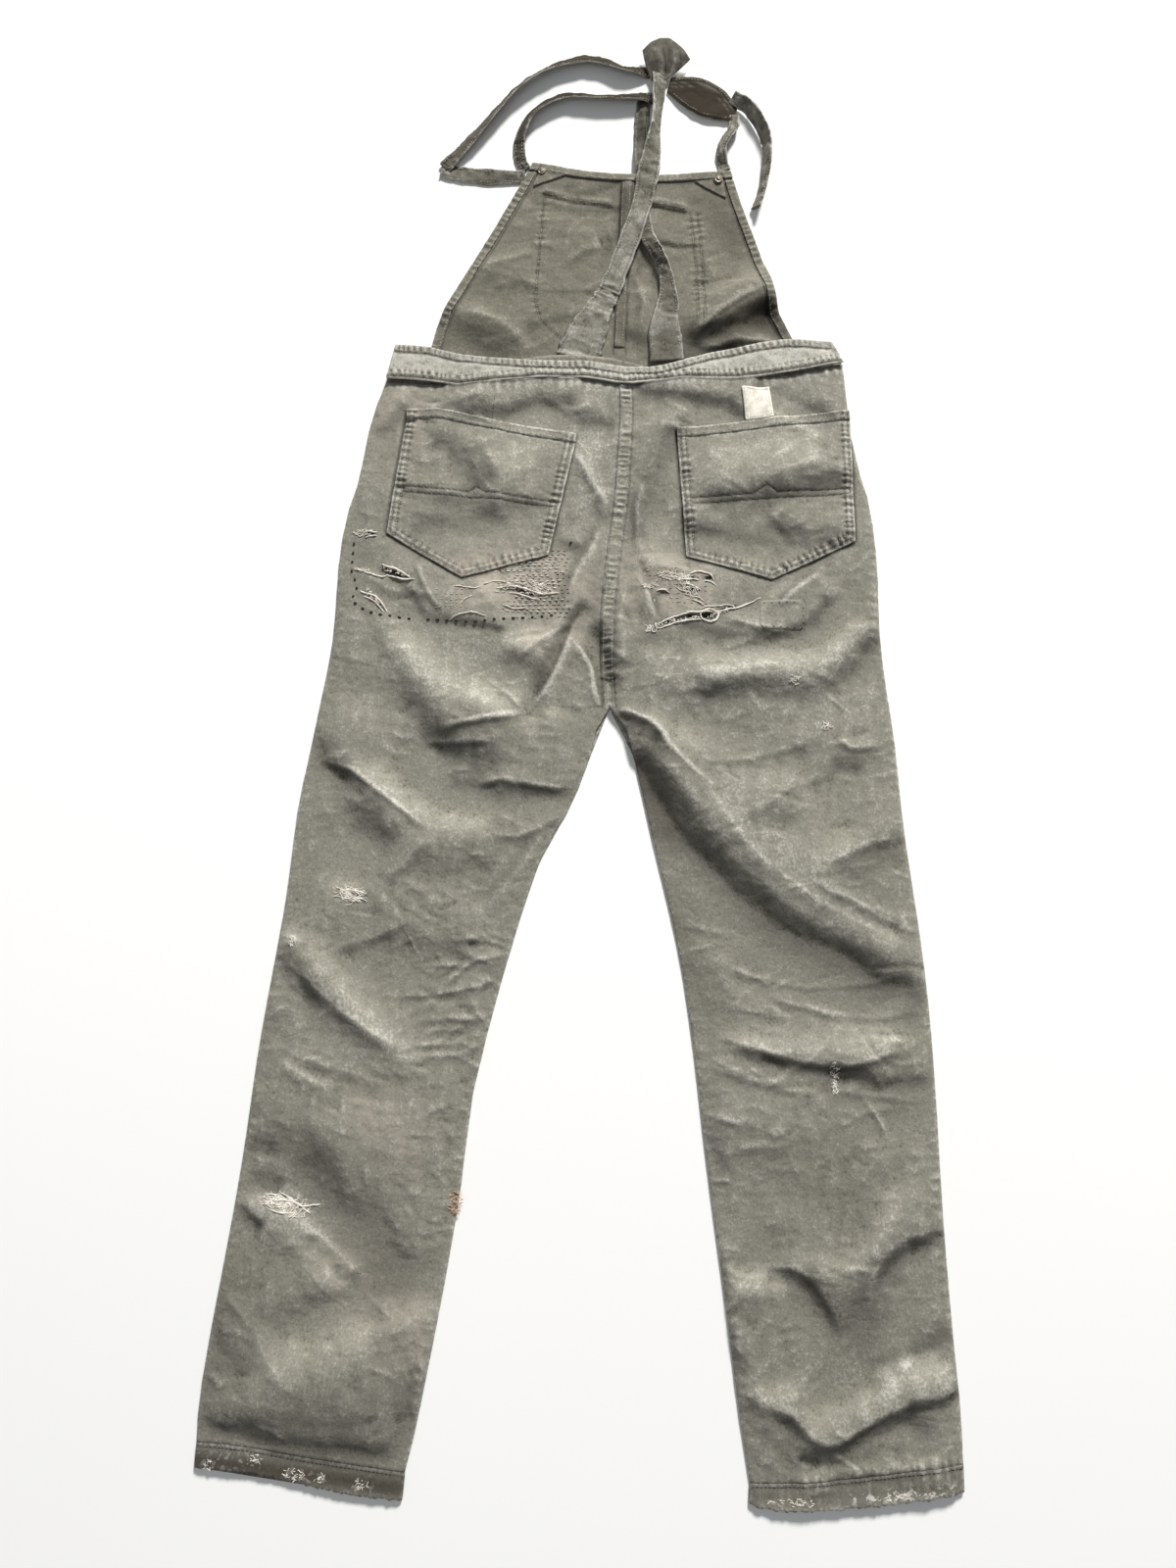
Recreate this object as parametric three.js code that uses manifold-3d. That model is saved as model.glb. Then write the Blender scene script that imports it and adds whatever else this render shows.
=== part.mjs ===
// Work overalls in faded cotton twill, laid face down on a flat surface, in millimetres.
// +Z is up, +Y runs to the strap end and the origin is on the surface under the middle of the whole.
// The front panels lie flat on the surface and the back panels lie on them, with their folds.
// The bib continues past the back waistband, inner face up, and the loose straps lie over it.
// Left and right are the wearer's: with the back up, the left is at -X.
import * as THREE from "three";
import { mergeVertices } from "three/addons/utils/BufferGeometryUtils.js";
import Module from "manifold-3d";

const wasm = await Module();
wasm.setup();

// ---- driving dimensions ----
const CLOTH = 1.2; // one layer of worn twill, with its hairiness
const DOUBLE = 2.2; // a turned hem, two to three layers pressed flat
const STRAP = 1.8; // strap: a folded band
const GAP = 0.3; // between pieces that are sewn together
const HALF_GAP = GAP / 2;
const CUT_DEPTH = 60; // height of the prism that cuts a layer to its outline
const SEAM_TOP = CLOTH + GAP + CLOTH + GAP; // top of the back panel at a side seam
const BODY_TOP = 7; // top of the back panel inside the seams, where it has no fold
const EDGE_ROLL = 14; // how far in from a side seam the back panel levels out
const BAND_TOP = 9.8; // top of the back waistband
const BAND_INNER_TOP = 7.5; // top of its inner layer, clear of the outer one's waves
const BIB_EDGE = 1.5; // top of the bib at its side edges
const BIB_TOP = 3.4; // top of the bib over the chest pockets
const BIB_ROLL = 9; // how far in from a side edge the bib levels out
const CROTCH_SHARE = 0.32; // share of the rows of a leg panel that lie above the crotch

const FACED = { roughness: 0.9, metalness: 0 };
const twill = new THREE.MeshStandardMaterial({ color: 0x7d7a6c, ...FACED });
const twillInside = new THREE.MeshStandardMaterial({ color: 0x6f6b5d, ...FACED });
const patchCloth = new THREE.MeshStandardMaterial({ color: 0xc9c2ae, ...FACED });
const WORN_METAL = { roughness: 0.45, metalness: 0.9 };
const buttonMetal = new THREE.MeshStandardMaterial({ color: 0x4a4138, ...WORN_METAL });

// ---- outlines, as points [x, y] ----
const CENTRE_BACK = [[47, 343], [48, 310], [42, 216], [34, 156], [28, 100], [27, 50], [29, -4]];
const LEFT_OUTER_SEAT = [
  [-205, 350], [-220, 305], [-231, 240], [-243, 197], [-249, 144], [-252, 70], [-263, 0],
];
const LEFT_OUTER_LEG = [
  [-263, 0], [-272, -53], [-281, -105], [-289, -190], [-299, -262], [-310, -339],
  [-321, -442], [-332, -521], [-344, -600], [-351, -657], [-352, -695],
];
const LEFT_INSEAM = [
  [29, -4], [17, -22], [8, -58], [-11, -105], [-41, -160], [-69, -248], [-90, -325],
  [-106, -397], [-113, -465], [-126, -548], [-140, -624], [-153, -690], [-161, -721],
];
const RIGHT_OUTER_SEAT = [
  [277, 368], [281, 314], [285, 270], [299, 214], [305, 150], [305, 70], [310, 10],
];
const RIGHT_OUTER_LEG = [
  [310, 10], [316, -46], [321, -125], [332, -227], [338, -300], [341, -380],
  [343, -500], [347, -600], [351, -668], [351, -714],
];
const RIGHT_INSEAM = [
  [29, -4], [43, -18], [56, -65], [73, -142], [90, -215], [101, -273], [111, -350],
  [118, -420], [126, -490], [137, -580], [146, -660], [156, -730],
];
const WAIST_LEFT = [
  [-205, 350], [-161, 346], [-128, 342], [-94, 346], [-46, 351], [4, 350], [47, 343],
];
const WAIST_RIGHT = [
  [47, 343], [80, 347], [112, 350], [166, 350], [200, 353], [241, 361], [277, 368],
];
const LEFT_HEM_SEAM = [[-352, -695], [-313, -698], [-253, -708], [-161, -721]];
const LEFT_HEM_END = [[-353, -716], [-302, -720], [-252, -730], [-205, -739], [-163, -744]];
const RIGHT_HEM_SEAM = [[156, -730], [208, -729], [278, -722], [351, -714]];
const RIGHT_HEM_END = [[155, -746], [172, -751], [210, -752], [277, -747], [351, -737]];
const FRONT_WAIST = [[-207, 344], [47, 336], [278, 352]];
const FRONT_BAND_TOP = [[-203, 367], [47, 362], [276, 374]];
const BAND_UPPER_LEFT = [
  [-196, 387], [-162, 384], [-128, 375], [-78, 371], [-46, 369], [4, 368], [47, 361],
];
const BAND_UPPER_RIGHT = [
  [47, 361], [80, 362], [113, 371], [137, 378], [177, 386], [218, 392], [265, 390],
];
const INNER_LAYER_END = 352;
const INNER_LAYER_TOP = [[-62, 372], [-34, 376], [7, 376], [45, 370], [68, 363]];

const BIB_LEFT = [[-53, 605], [-67, 576], [-111, 494], [-148, 427], [-158, 392], [-166, 366.6]];
const BIB_RIGHT = [
  [163, 595], [173, 556], [197, 483], [206, 454], [210, 427], [228, 392], [236, 372.2],
];
const BIB_UPPER = [[-53, 605], [2, 593], [59, 588], [95, 588], [163, 595]];
const BIB_LOWER = [[-166, 366.6], [47, 362.3], [236, 372.2]];
const BIB_CENTRE_STRIP = [[44, 579], [55, 579], [46, 388], [35, 388]];
const BIB_CORNER_LEFT = [[-45, 594], [-18, 588], [-52, 576]];
const BIB_CORNER_RIGHT = [[154, 585], [124, 581], [157, 562]];

const POCKET_LEFT = [
  [-182, 314], [-152, 314], [-94, 303], [-6, 288], [-34, 156], [-122, 132], [-200, 179],
];
const POCKET_RIGHT = [[101, 293], [190, 304], [282, 314], [282, 170], [196, 130], [109, 155]];
const POCKET_HEM_HEIGHT = 9;
const LABEL = [[169, 339], [198, 340], [202, 307], [173, 304]];
const SEAT_PATCH = [
  [183, 104], [186, 107], [225, 107], [229, 102], [228, 80], [224, 76], [186, 76], [182, 80],
];
const CHEST_POCKET_LEFT = [[-41, 566], [37, 550], [28, 400], [-18, 400], [-47, 435]];
const CHEST_POCKET_RIGHT = [[56, 551], [79, 557], [118, 547], [122, 414], [108, 400], [48, 400]];

// ---- the largest folds: a line of points, its rise and how far it reaches to either side ----
const BODY_FOLDS = [
  { line: [[-215, 40], [-60, -20]], rise: 5, reach: 48 },
  { line: [[-272, -54], [-227, -68], [-148, -134]], rise: -4, reach: 13 },
  { line: [[-262, -85], [-205, -104], [-140, -160]], rise: 6, reach: 20 },
  { line: [[-161, -20], [-52, -2], [-3, 70]], rise: 5, reach: 13 },
  { line: [[-101, -90], [0, -85]], rise: -3, reach: 12 },
  { line: [[-250, -190], [-120, -215]], rise: 4, reach: 34 },
  { line: [[-147, -246], [-82, -256]], rise: -3, reach: 10 },
  { line: [[-281, -243], [-163, -346]], rise: 5, reach: 22 },
  { line: [[-155, -320], [-92, -336]], rise: -3, reach: 11 },
  { line: [[-290, -400], [-170, -430]], rise: 4, reach: 36 },
  { line: [[-197, -487], [-168, -549]], rise: -4, reach: 16 },
  { line: [[-271, -496], [-176, -575]], rise: 6, reach: 19 },
  { line: [[-300, -640], [-190, -660]], rise: 4, reach: 34 },
  { line: [[90, 30], [250, -20]], rise: 6, reach: 46 },
  { line: [[48, -22], [84, -44]], rise: -3, reach: 9 },
  { line: [[67, -62], [143, -160], [203, -218], [264, -248], [309, -282]], rise: -4, reach: 22 },
  { line: [[120, -80], [200, -160], [300, -215]], rise: 6, reach: 30 },
  { line: [[100, -245], [190, -290], [270, -330]], rise: 6, reach: 26 },
  { line: [[125, -415], [289, -429]], rise: 4, reach: 30 },
  { line: [[179, -545], [217, -568], [243, -607]], rise: -4, reach: 15 },
  { line: [[325, -511], [284, -537], [269, -607]], rise: -4, reach: 14 },
  { line: [[205, -510], [262, -560]], rise: 6, reach: 24 },
  { line: [[151, -661], [209, -694], [256, -690], [350, -660]], rise: 6, reach: 16 },
  { line: [[60, 240], [58, 184], [84, 87]], rise: 4, reach: 11 },
  { line: [[-225, 130], [-110, 112]], rise: 3, reach: 30 },
];
const BIB_FOLDS = [
  { line: [[134, 412], [152, 430], [203, 449]], rise: 6, reach: 13 },
  { line: [[136, 399], [203, 406]], rise: 5, reach: 9 },
  { line: [[-100, 470], [-60, 420]], rise: 2, reach: 24 },
];

// ---- straps: stations [x, y, rest, roll in degrees, width]; rest is the lowest point's height ----
const STRAPS = {
  strap_left_gusset: [
    [-5, 372, 3.9, 0, 47], [5, 399, 4.6, 0, 42], [19, 430, 5.4, 0, 30], [26, 444, 5.9, 0, 26],
  ],
  strap_left_back: [
    [28, 446, 5.9, 0, 25], [34, 460, 6.2, 0, 24], [51, 506, 8.3, 0, 23],
    [65, 549, 8.6, 0, 21], [72, 585, 8.6, 0, 25], [77, 612, 8, 15, 20], [81, 640, 5, 48, 17],
    [84, 670, 2, 48, 17], [86, 697, 2, 30, 17],
  ],
  strap_right_gusset: [
    [91, 371, 3.9, 0, 39], [89, 412, 5.4, 0, 32], [93, 440, 5.9, 0, 22], [91, 468, 5.9, 0, 15],
  ],
  strap_right_back: [
    [90, 471, 5.9, -10, 15], [84, 487, 5.9, -40, 15], [76, 503, 5.9, -22, 16], [70, 520, 5.8, 0, 15],
    [68, 545, 5.8, 0, 14], [67, 580, 5.7, 0, 15], [67, 603, 4, 8, 17], [66, 632, 0.6, 0, 17],
    [67, 660, 0.4, 0, 16], [68, 672, 0.4, 0, 16],
  ],
  strap_left_inner: [
    [64, 683, 0.4, 30, 17], [20, 682, 0.2, 42, 17], [-20, 683, 0.2, 35, 17], [-52, 664, 0.2, 45, 17],
    [-65, 640, 0.2, 40, 16], [-68, 624, 0.2, 20, 14], [-67, 612, 0.2, 10, 13],
  ],
  strap_left_outer: [
    [62, 716, 0.4, 30, 16], [47, 717, 0.3, 40, 17], [26, 726, 0.2, 30, 18], [4, 729, 0.2, 30, 18],
    [-25, 722, 0.2, 38, 18], [-47, 710, 0.2, 48, 18], [-69, 693, 0.2, 52, 18], [-90, 669, 0.2, 48, 18],
    [-111, 642, 0.2, 40, 18], [-131, 618, 1.2, 14, 17], [-141, 606, 2.2, 0, 15],
  ],
  strap_left_return: [
    [-148, 597, 0, 0, 17], [-125, 592, 0, 0, 19], [-100, 590, 0, 6, 18], [-73, 590, 0, 6, 16],
  ],
  strap_right_turn: [
    [167, 646, 0.2, 20, 14], [159, 636, 0.2, 40, 15], [152, 621, 0.2, 45, 15], [153, 606, 0.2, 20, 13],
    [156, 598, 0.2, 10, 13],
  ],
  strap_right_outer: [
    [181, 671, 0.2, 55, 18], [192, 655, 0.2, 60, 19], [200, 636, 0.2, 62, 19], [203, 618, 0.2, 62, 19],
    [201, 595, 0.2, 60, 19], [196, 568, 0.2, 58, 18], [189, 548, 0.2, 50, 16],
  ],
};
const TOP_FOLD = {
  left: [[68, 738], [71, 722], [78, 703]],
  right: [[120, 727], [107, 714], [93, 704]],
  top: [[68, 738], [82, 747], [98, 749], [120, 727]],
  bottom: [[78, 703], [93, 704]],
};
const INNER_BAND = {
  left: [[100, 709], [95, 692]],
  right: [[172, 673], [166, 655]],
  top: [[100, 709], [132, 707], [157, 693], [172, 673]],
  bottom: [[95, 692], [112, 674], [134, 660], [166, 655]],
};
const BUTTONS = { bib_button_left: [-43, 593], bib_button_right: [149, 583] };
const BUTTON_RADIUS = 4.5;
const BUTTON_PROFILE = [
  [0, 0], [2.6, 0], [2.6, 0.8], [BUTTON_RADIUS, 1.1], [BUTTON_RADIUS, 1.8], [3.2, 2.5], [0, 2.6],
];
const BUTTON_SIDES = 20;

// ---- shapes ----
const mix = (a, b, share) => a + (b - a) * share;
const smoothstep = (low, high, value) => THREE.MathUtils.smoothstep(value, low, high);

// A smooth edge through its points, as a function of the share of its length.
function edge(points) {
  const curve = new THREE.SplineCurve(points.map(([x, y]) => new THREE.Vector2(x, y)));
  return (share) => curve.getPointAt(THREE.MathUtils.clamp(share, 0, 1));
}

// Straight stretches between points, by the share of the whole length.
function straight(points) {
  const path = new THREE.CurvePath();
  for (let i = 0; i + 1 < points.length; i++)
    path.add(new THREE.LineCurve(new THREE.Vector2(...points[i]), new THREE.Vector2(...points[i + 1])));
  return (share) => path.getPointAt(THREE.MathUtils.clamp(share, 0, 1));
}

// Two edges end to end: the first takes CROTCH_SHARE of the whole.
function edgePair(upper, lower) {
  const first = edge(upper);
  const second = edge(lower);
  return (share) =>
    share <= CROTCH_SHARE
      ? first(share / CROTCH_SHARE)
      : second((share - CROTCH_SHARE) / (1 - CROTCH_SHARE));
}

const moved = (curve, dx, dy) => (share) => {
  const point = curve(share);
  return new THREE.Vector2(point.x + dx, point.y + dy);
};

function distanceToLine(x, y, line) {
  let nearest = Infinity;
  for (let i = 0; i + 1 < line.length; i++) {
    const [ax, ay] = line[i];
    const [bx, by] = line[i + 1];
    const along = ((x - ax) * (bx - ax) + (y - ay) * (by - ay)) / ((bx - ax) ** 2 + (by - ay) ** 2);
    const share = THREE.MathUtils.clamp(along, 0, 1);
    nearest = Math.min(nearest, Math.hypot(x - mix(ax, bx, share), y - mix(ay, by, share)));
  }
  return nearest;
}

function foldRise(folds, x, y) {
  return folds.reduce((total, { line, rise, reach }) => {
    const share = distanceToLine(x, y, line) / reach;
    return total + rise * Math.exp(-(share ** 2));
  }, 0);
}

// Rows of top-surface points between four edges. height takes a point and its distance to each side.
function surface({ left, right, top, bottom, across, down, height }) {
  const corners = [left(0), right(0), left(1), right(1)];
  return down.map((v) => {
    const start = left(v);
    const end = right(v);
    const width = start.distanceTo(end);
    return across.map((u) => {
      const upper = top(u);
      const lower = bottom(u);
      const blend = (axis) =>
        mix(start[axis], end[axis], u) +
        mix(upper[axis], lower[axis], v) -
        mix(mix(corners[0][axis], corners[1][axis], u), mix(corners[2][axis], corners[3][axis], u), v);
      const x = blend("x");
      const y = blend("y");
      return [x, y, height(x, y, u * width, (1 - u) * width)];
    });
  });
}

// A closed wall between the rows moved up by lift and the same rows moved down again by thickness.
function wall(rows, thickness, lift = 0) {
  const columns = rows[0].length;
  const positions = [];
  for (const drop of [0, thickness])
    for (const row of rows) for (const [x, y, z] of row) positions.push(x, y, z + lift - drop);
  const under = rows.length * columns;
  const index = [];
  const quad = (a, b, c, d) => index.push(a, b, c, a, c, d);
  for (let r = 0; r + 1 < rows.length; r++)
    for (let c = 0; c + 1 < columns; c++) {
      const a = r * columns + c;
      const b = a + columns;
      quad(a, b, b + 1, a + 1);
      index.push(under + a, under + b + 1, under + b, under + a, under + a + 1, under + b + 1);
    }
  const rim = [];
  for (let r = 0; r + 1 < rows.length; r++) rim.push(r * columns);
  for (let c = 0; c + 1 < columns; c++) rim.push((rows.length - 1) * columns + c);
  for (let r = rows.length - 1; r > 0; r--) rim.push(r * columns + columns - 1);
  for (let c = columns - 1; c > 0; c--) rim.push(c);
  rim.forEach((from, i) => {
    const to = rim[(i + 1) % rim.length];
    quad(to, from, from + under, to + under);
  });
  const geometry = new THREE.BufferGeometry();
  geometry.setAttribute("position", new THREE.Float32BufferAttribute(positions, 3));
  geometry.setIndex(index);
  return geometry;
}

function solidOf(geometry) {
  const bare = geometry.clone();
  bare.deleteAttribute("normal");
  bare.deleteAttribute("uv");
  const merged = mergeVertices(bare, 1e-4);
  return new wasm.Manifold(
    new wasm.Mesh({
      numProp: 3,
      vertProperties: merged.attributes.position.array,
      triVerts: new Uint32Array(merged.index.array),
    }),
  );
}

function geometryOf(solid) {
  const mesh = solid.getMesh();
  const geometry = new THREE.BufferGeometry();
  geometry.setAttribute("position", new THREE.BufferAttribute(mesh.vertProperties, 3));
  geometry.setIndex(new THREE.BufferAttribute(mesh.triVerts, 1));
  return geometry;
}

// A piece that lies on a panel: the panel's own surface moved up and cut to an outline.
function layer(rows, outline, thickness, lift = GAP) {
  const shape = new THREE.Shape(outline.map(([x, y]) => new THREE.Vector2(x, y)));
  const prism = new THREE.ExtrudeGeometry(shape, { depth: CUT_DEPTH, bevelEnabled: false });
  return geometryOf(solidOf(wall(rows, thickness, lift + thickness)).intersect(solidOf(prism)));
}

// A band along stations [x, y, rest, roll, width].
function band(stations, thickness) {
  const places = new THREE.CatmullRomCurve3(stations.map(([x, y, rest]) => new THREE.Vector3(x, y, rest)));
  const turns = new THREE.CatmullRomCurve3(
    stations.map(([, , , roll, width]) => new THREE.Vector3(roll, width, 0)),
  );
  const steps = (stations.length - 1) * 2;
  const positions = [];
  for (let i = 0; i <= steps; i++) {
    const share = i / steps;
    const place = places.getPoint(share);
    const tangent = places.getTangent(share).setZ(0).normalize();
    const { x: rollDegrees, y: width } = turns.getPoint(share);
    const roll = THREE.MathUtils.degToRad(rollDegrees);
    const side = new THREE.Vector3(-tangent.y, tangent.x, 0).multiplyScalar(Math.cos(roll));
    side.z = Math.sin(roll);
    const face = new THREE.Vector3().crossVectors(tangent, side);
    place.z += (width / 2) * Math.abs(Math.sin(roll)) + (thickness / 2) * Math.cos(roll);
    for (const [s, f] of [[-1, -1], [1, -1], [1, 1], [-1, 1]]) {
      const corner = place.clone();
      corner.addScaledVector(side, (s * width) / 2).addScaledVector(face, (f * thickness) / 2);
      positions.push(corner.x, corner.y, corner.z);
    }
  }
  const index = [0, 2, 1, 0, 3, 2];
  for (let i = 0; i < steps; i++)
    for (let k = 0; k < 4; k++) {
      const a = i * 4 + k;
      const b = i * 4 + ((k + 1) % 4);
      index.push(a, b, a + 4, b, b + 4, a + 4);
    }
  const last = steps * 4;
  index.push(last, last + 1, last + 2, last, last + 2, last + 3);
  const geometry = new THREE.BufferGeometry();
  geometry.setAttribute("position", new THREE.Float32BufferAttribute(positions, 3));
  geometry.setIndex(index);
  return geometry;
}

function evenly(count) {
  return Array.from({ length: count + 1 }, (_, i) => i / count);
}

// ---- the group ----
const overalls = new THREE.Group();

function add(name, geometry, material) {
  geometry.computeVertexNormals();
  const mesh = new THREE.Mesh(geometry, material);
  mesh.name = name;
  overalls.add(mesh);
}

// ---- legs: the back panel with its folds, the flat front panel and their hems ----
const SEAM_STRIP_SHARE = 0.975; // a column of points this far across edges the centre back strip
const ACROSS_LEFT = [0, 0.02, 0.06, 0.15, 0.27, 0.39, 0.51, 0.63, 0.75, 0.86, 0.94, SEAM_STRIP_SHARE, 1];
const ACROSS_RIGHT = ACROSS_LEFT.map((u) => 1 - u).reverse();
const LEG_ROWS = 38;
const SEAT_ROWS = Math.round(LEG_ROWS * CROTCH_SHARE);
const HEM_OVER_PANEL = 0.4; // a turned hem stands over the panel it ends
const DOWN = [
  ...evenly(SEAT_ROWS).map((v) => v * CROTCH_SHARE),
  ...evenly(LEG_ROWS - SEAT_ROWS).slice(1).map((v) => mix(CROTCH_SHARE, 1, v)),
];

// From CROTCH_FROM up to CROTCH_TO the inseam's roll ends; from WAIST_FROM to WAIST_TO the folds do.
const [CROTCH_FROM, CROTCH_TO] = [-60, 30];
const [WAIST_FROM, WAIST_TO] = [310, 350];

// Height of the back of the body: level inside, down to the surface at the side seams and inseams.
function bodyHeight(x, y, outerDistance, innerDistance) {
  const outer = 1 - Math.exp(-outerDistance / EDGE_ROLL);
  const seat = smoothstep(CROTCH_FROM, CROTCH_TO, y);
  const inner = mix(1 - Math.exp(-innerDistance / EDGE_ROLL), 1, seat);
  const waist = 1 - smoothstep(WAIST_FROM, WAIST_TO, y);
  const free = outer * inner;
  return Math.max(SEAM_TOP, mix(SEAM_TOP, BODY_TOP + waist * foldRise(BODY_FOLDS, x, y), free));
}

const LEGS = [
  {
    side: "left",
    frontOuter: edgePair([FRONT_WAIST[0], ...LEFT_OUTER_SEAT.slice(1)], LEFT_OUTER_LEG),
    frontInner: moved(edgePair([FRONT_WAIST[1], ...CENTRE_BACK.slice(1)], LEFT_INSEAM), -HALF_GAP, 0),
    outer: edgePair(LEFT_OUTER_SEAT, LEFT_OUTER_LEG),
    inner: moved(edgePair(CENTRE_BACK, LEFT_INSEAM), -HALF_GAP, 0),
    waist: moved(edge(WAIST_LEFT), -HALF_GAP, 0),
    hemSeam: moved(edge(LEFT_HEM_SEAM), -HALF_GAP, 0),
    hemEnd: edge(LEFT_HEM_END),
    hemOuter: edge([LEFT_HEM_SEAM[0], LEFT_HEM_END[0]]),
    hemInner: edge([LEFT_HEM_SEAM.at(-1), LEFT_HEM_END.at(-1)]),
    across: ACROSS_LEFT,
  },
  {
    side: "right",
    frontOuter: edgePair([FRONT_WAIST[2], ...RIGHT_OUTER_SEAT.slice(1)], RIGHT_OUTER_LEG),
    frontInner: moved(edgePair([FRONT_WAIST[1], ...CENTRE_BACK.slice(1)], RIGHT_INSEAM), HALF_GAP, 0),
    outer: edgePair(RIGHT_OUTER_SEAT, RIGHT_OUTER_LEG),
    inner: moved(edgePair(CENTRE_BACK, RIGHT_INSEAM), HALF_GAP, 0),
    waist: moved(edge(WAIST_RIGHT), HALF_GAP, 0),
    hemSeam: moved(edge(RIGHT_HEM_SEAM), HALF_GAP, 0),
    hemEnd: edge(RIGHT_HEM_END),
    hemOuter: edge([RIGHT_HEM_SEAM.at(-1), RIGHT_HEM_END.at(-1)]),
    hemInner: edge([RIGHT_HEM_SEAM[0], RIGHT_HEM_END[0]]),
    across: ACROSS_RIGHT,
  },
];

const backRows = {};
for (const leg of LEGS) {
  const isLeft = leg.side === "left";
  const [left, right] = isLeft ? [leg.outer, leg.inner] : [leg.inner, leg.outer];
  const toSides = (height) => (x, y, dl, dr) => (isLeft ? height(x, y, dl, dr) : height(x, y, dr, dl));
  const panel = { left, right, top: leg.waist, bottom: leg.hemSeam };
  backRows[leg.side] = surface({
    ...panel,
    across: leg.across,
    down: DOWN,
    height: toSides(bodyHeight),
  });
  add(`back_leg_${leg.side}`, wall(backRows[leg.side], CLOTH), twill);
  const [flatLeft, flatRight] = isLeft
    ? [leg.frontOuter, leg.frontInner]
    : [leg.frontInner, leg.frontOuter];
  const flat = surface({
    left: flatLeft,
    right: flatRight,
    top: straight([flatLeft(0), flatRight(0)].map(({ x, y }) => [x, y])),
    bottom: straight([leg.hemSeam(0), leg.hemSeam(1)].map(({ x, y }) => [x, y])),
    across: evenly(2),
    down: DOWN.filter((_, i) => i % 2 === 0),
    height: () => CLOTH,
  });
  add(`front_leg_${leg.side}`, wall(flat, CLOTH), twill);

  const [hemLeft, hemRight] = isLeft ? [leg.hemOuter, leg.hemInner] : [leg.hemInner, leg.hemOuter];
  const hem = {
    left: moved(hemLeft, 0, -GAP),
    right: moved(hemRight, 0, -GAP),
    top: moved(leg.hemSeam, 0, -GAP),
    bottom: moved(leg.hemEnd, 0, -GAP),
  };
  const hemLowest = DOUBLE + GAP + DOUBLE;
  const hemHeight = (...place) => Math.max(hemLowest, bodyHeight(...place) + HEM_OVER_PANEL);
  const hemRows = surface({ ...hem, across: leg.across, down: evenly(2), height: toSides(hemHeight) });
  add(`hem_back_${leg.side}`, wall(hemRows, DOUBLE), twill);
  const flatHem = {
    ...hem,
    top: straight([hem.top(0), hem.top(1)].map(({ x, y }) => [x, y])),
    bottom: straight([hem.bottom(0), hem.bottom(1)].map(({ x, y }) => [x, y])),
  };
  const hemFlat = surface({ ...flatHem, across: evenly(2), down: evenly(1), height: () => DOUBLE });
  add(`hem_front_${leg.side}`, wall(hemFlat, DOUBLE), twill);
}

// ---- centre back strip, over the seam between the two back panels ----
const stripRows = backRows.left
  .slice(0, SEAT_ROWS)
  .map((row, i) => [...row.slice(-2), ...backRows.right[i].slice(0, 2)]);
add("centre_back_seam", wall(stripRows, CLOTH, GAP + CLOTH), twill);

// ---- back pockets, label and mending patch ----
function pocket(side, outline, topCount) {
  const top = outline.slice(0, topCount);
  const lowered = top.map(([x, y]) => [x, y - POCKET_HEM_HEIGHT]);
  const body = [...lowered.map(([x, y]) => [x, y - GAP]), ...outline.slice(topCount)];
  add(`back_pocket_${side}`, layer(backRows[side], body, CLOTH), twill);
  add(`pocket_hem_${side}`, layer(backRows[side], [...top, ...lowered.reverse()], DOUBLE), twill);
}
pocket("left", POCKET_LEFT, 4);
pocket("right", POCKET_RIGHT, 3);
add("label_patch", layer(backRows.right, LABEL, CLOTH), patchCloth);
add("seat_patch_right", layer(backRows.right, SEAT_PATCH, CLOTH), twill);

// ---- waistband: outer and inner layers at the back, one layer at the front ----
const WAIST_SEAM = edge([...WAIST_LEFT, ...WAIST_RIGHT.slice(1)]);
const BAND_UPPER = edge([...BAND_UPPER_LEFT, ...BAND_UPPER_RIGHT.slice(1)]);
const BAND_WAVE = { rise: 0.6, length: 31 }; // the band's slight rise and fall along its length
const bandRows = surface({
  left: moved(edge([BAND_UPPER_LEFT[0], WAIST_LEFT[0]]), 0, GAP),
  right: moved(edge([BAND_UPPER_RIGHT.at(-1), WAIST_RIGHT.at(-1)]), 0, GAP),
  top: moved(BAND_UPPER, 0, GAP),
  bottom: moved(WAIST_SEAM, 0, GAP),
  across: evenly(26),
  down: evenly(3),
  height: (x) => BAND_TOP + BAND_WAVE.rise * Math.sin(x / BAND_WAVE.length),
});
add("waistband_back", wall(bandRows, CLOTH), twill);

const innerFrom = INNER_LAYER_TOP[0];
const innerTo = INNER_LAYER_TOP.at(-1);
const innerLowFrom = [innerFrom[0], INNER_LAYER_END];
const innerLowTo = [innerTo[0], INNER_LAYER_END];
const innerRows = surface({
  left: edge([innerFrom, innerLowFrom]),
  right: edge([innerTo, innerLowTo]),
  top: edge(INNER_LAYER_TOP),
  bottom: edge([innerLowFrom, innerLowTo]),
  across: evenly(8),
  down: evenly(1),
  height: () => BAND_INNER_TOP,
});
add("waistband_back_inner", wall(innerRows, CLOTH), twillInside);

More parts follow.
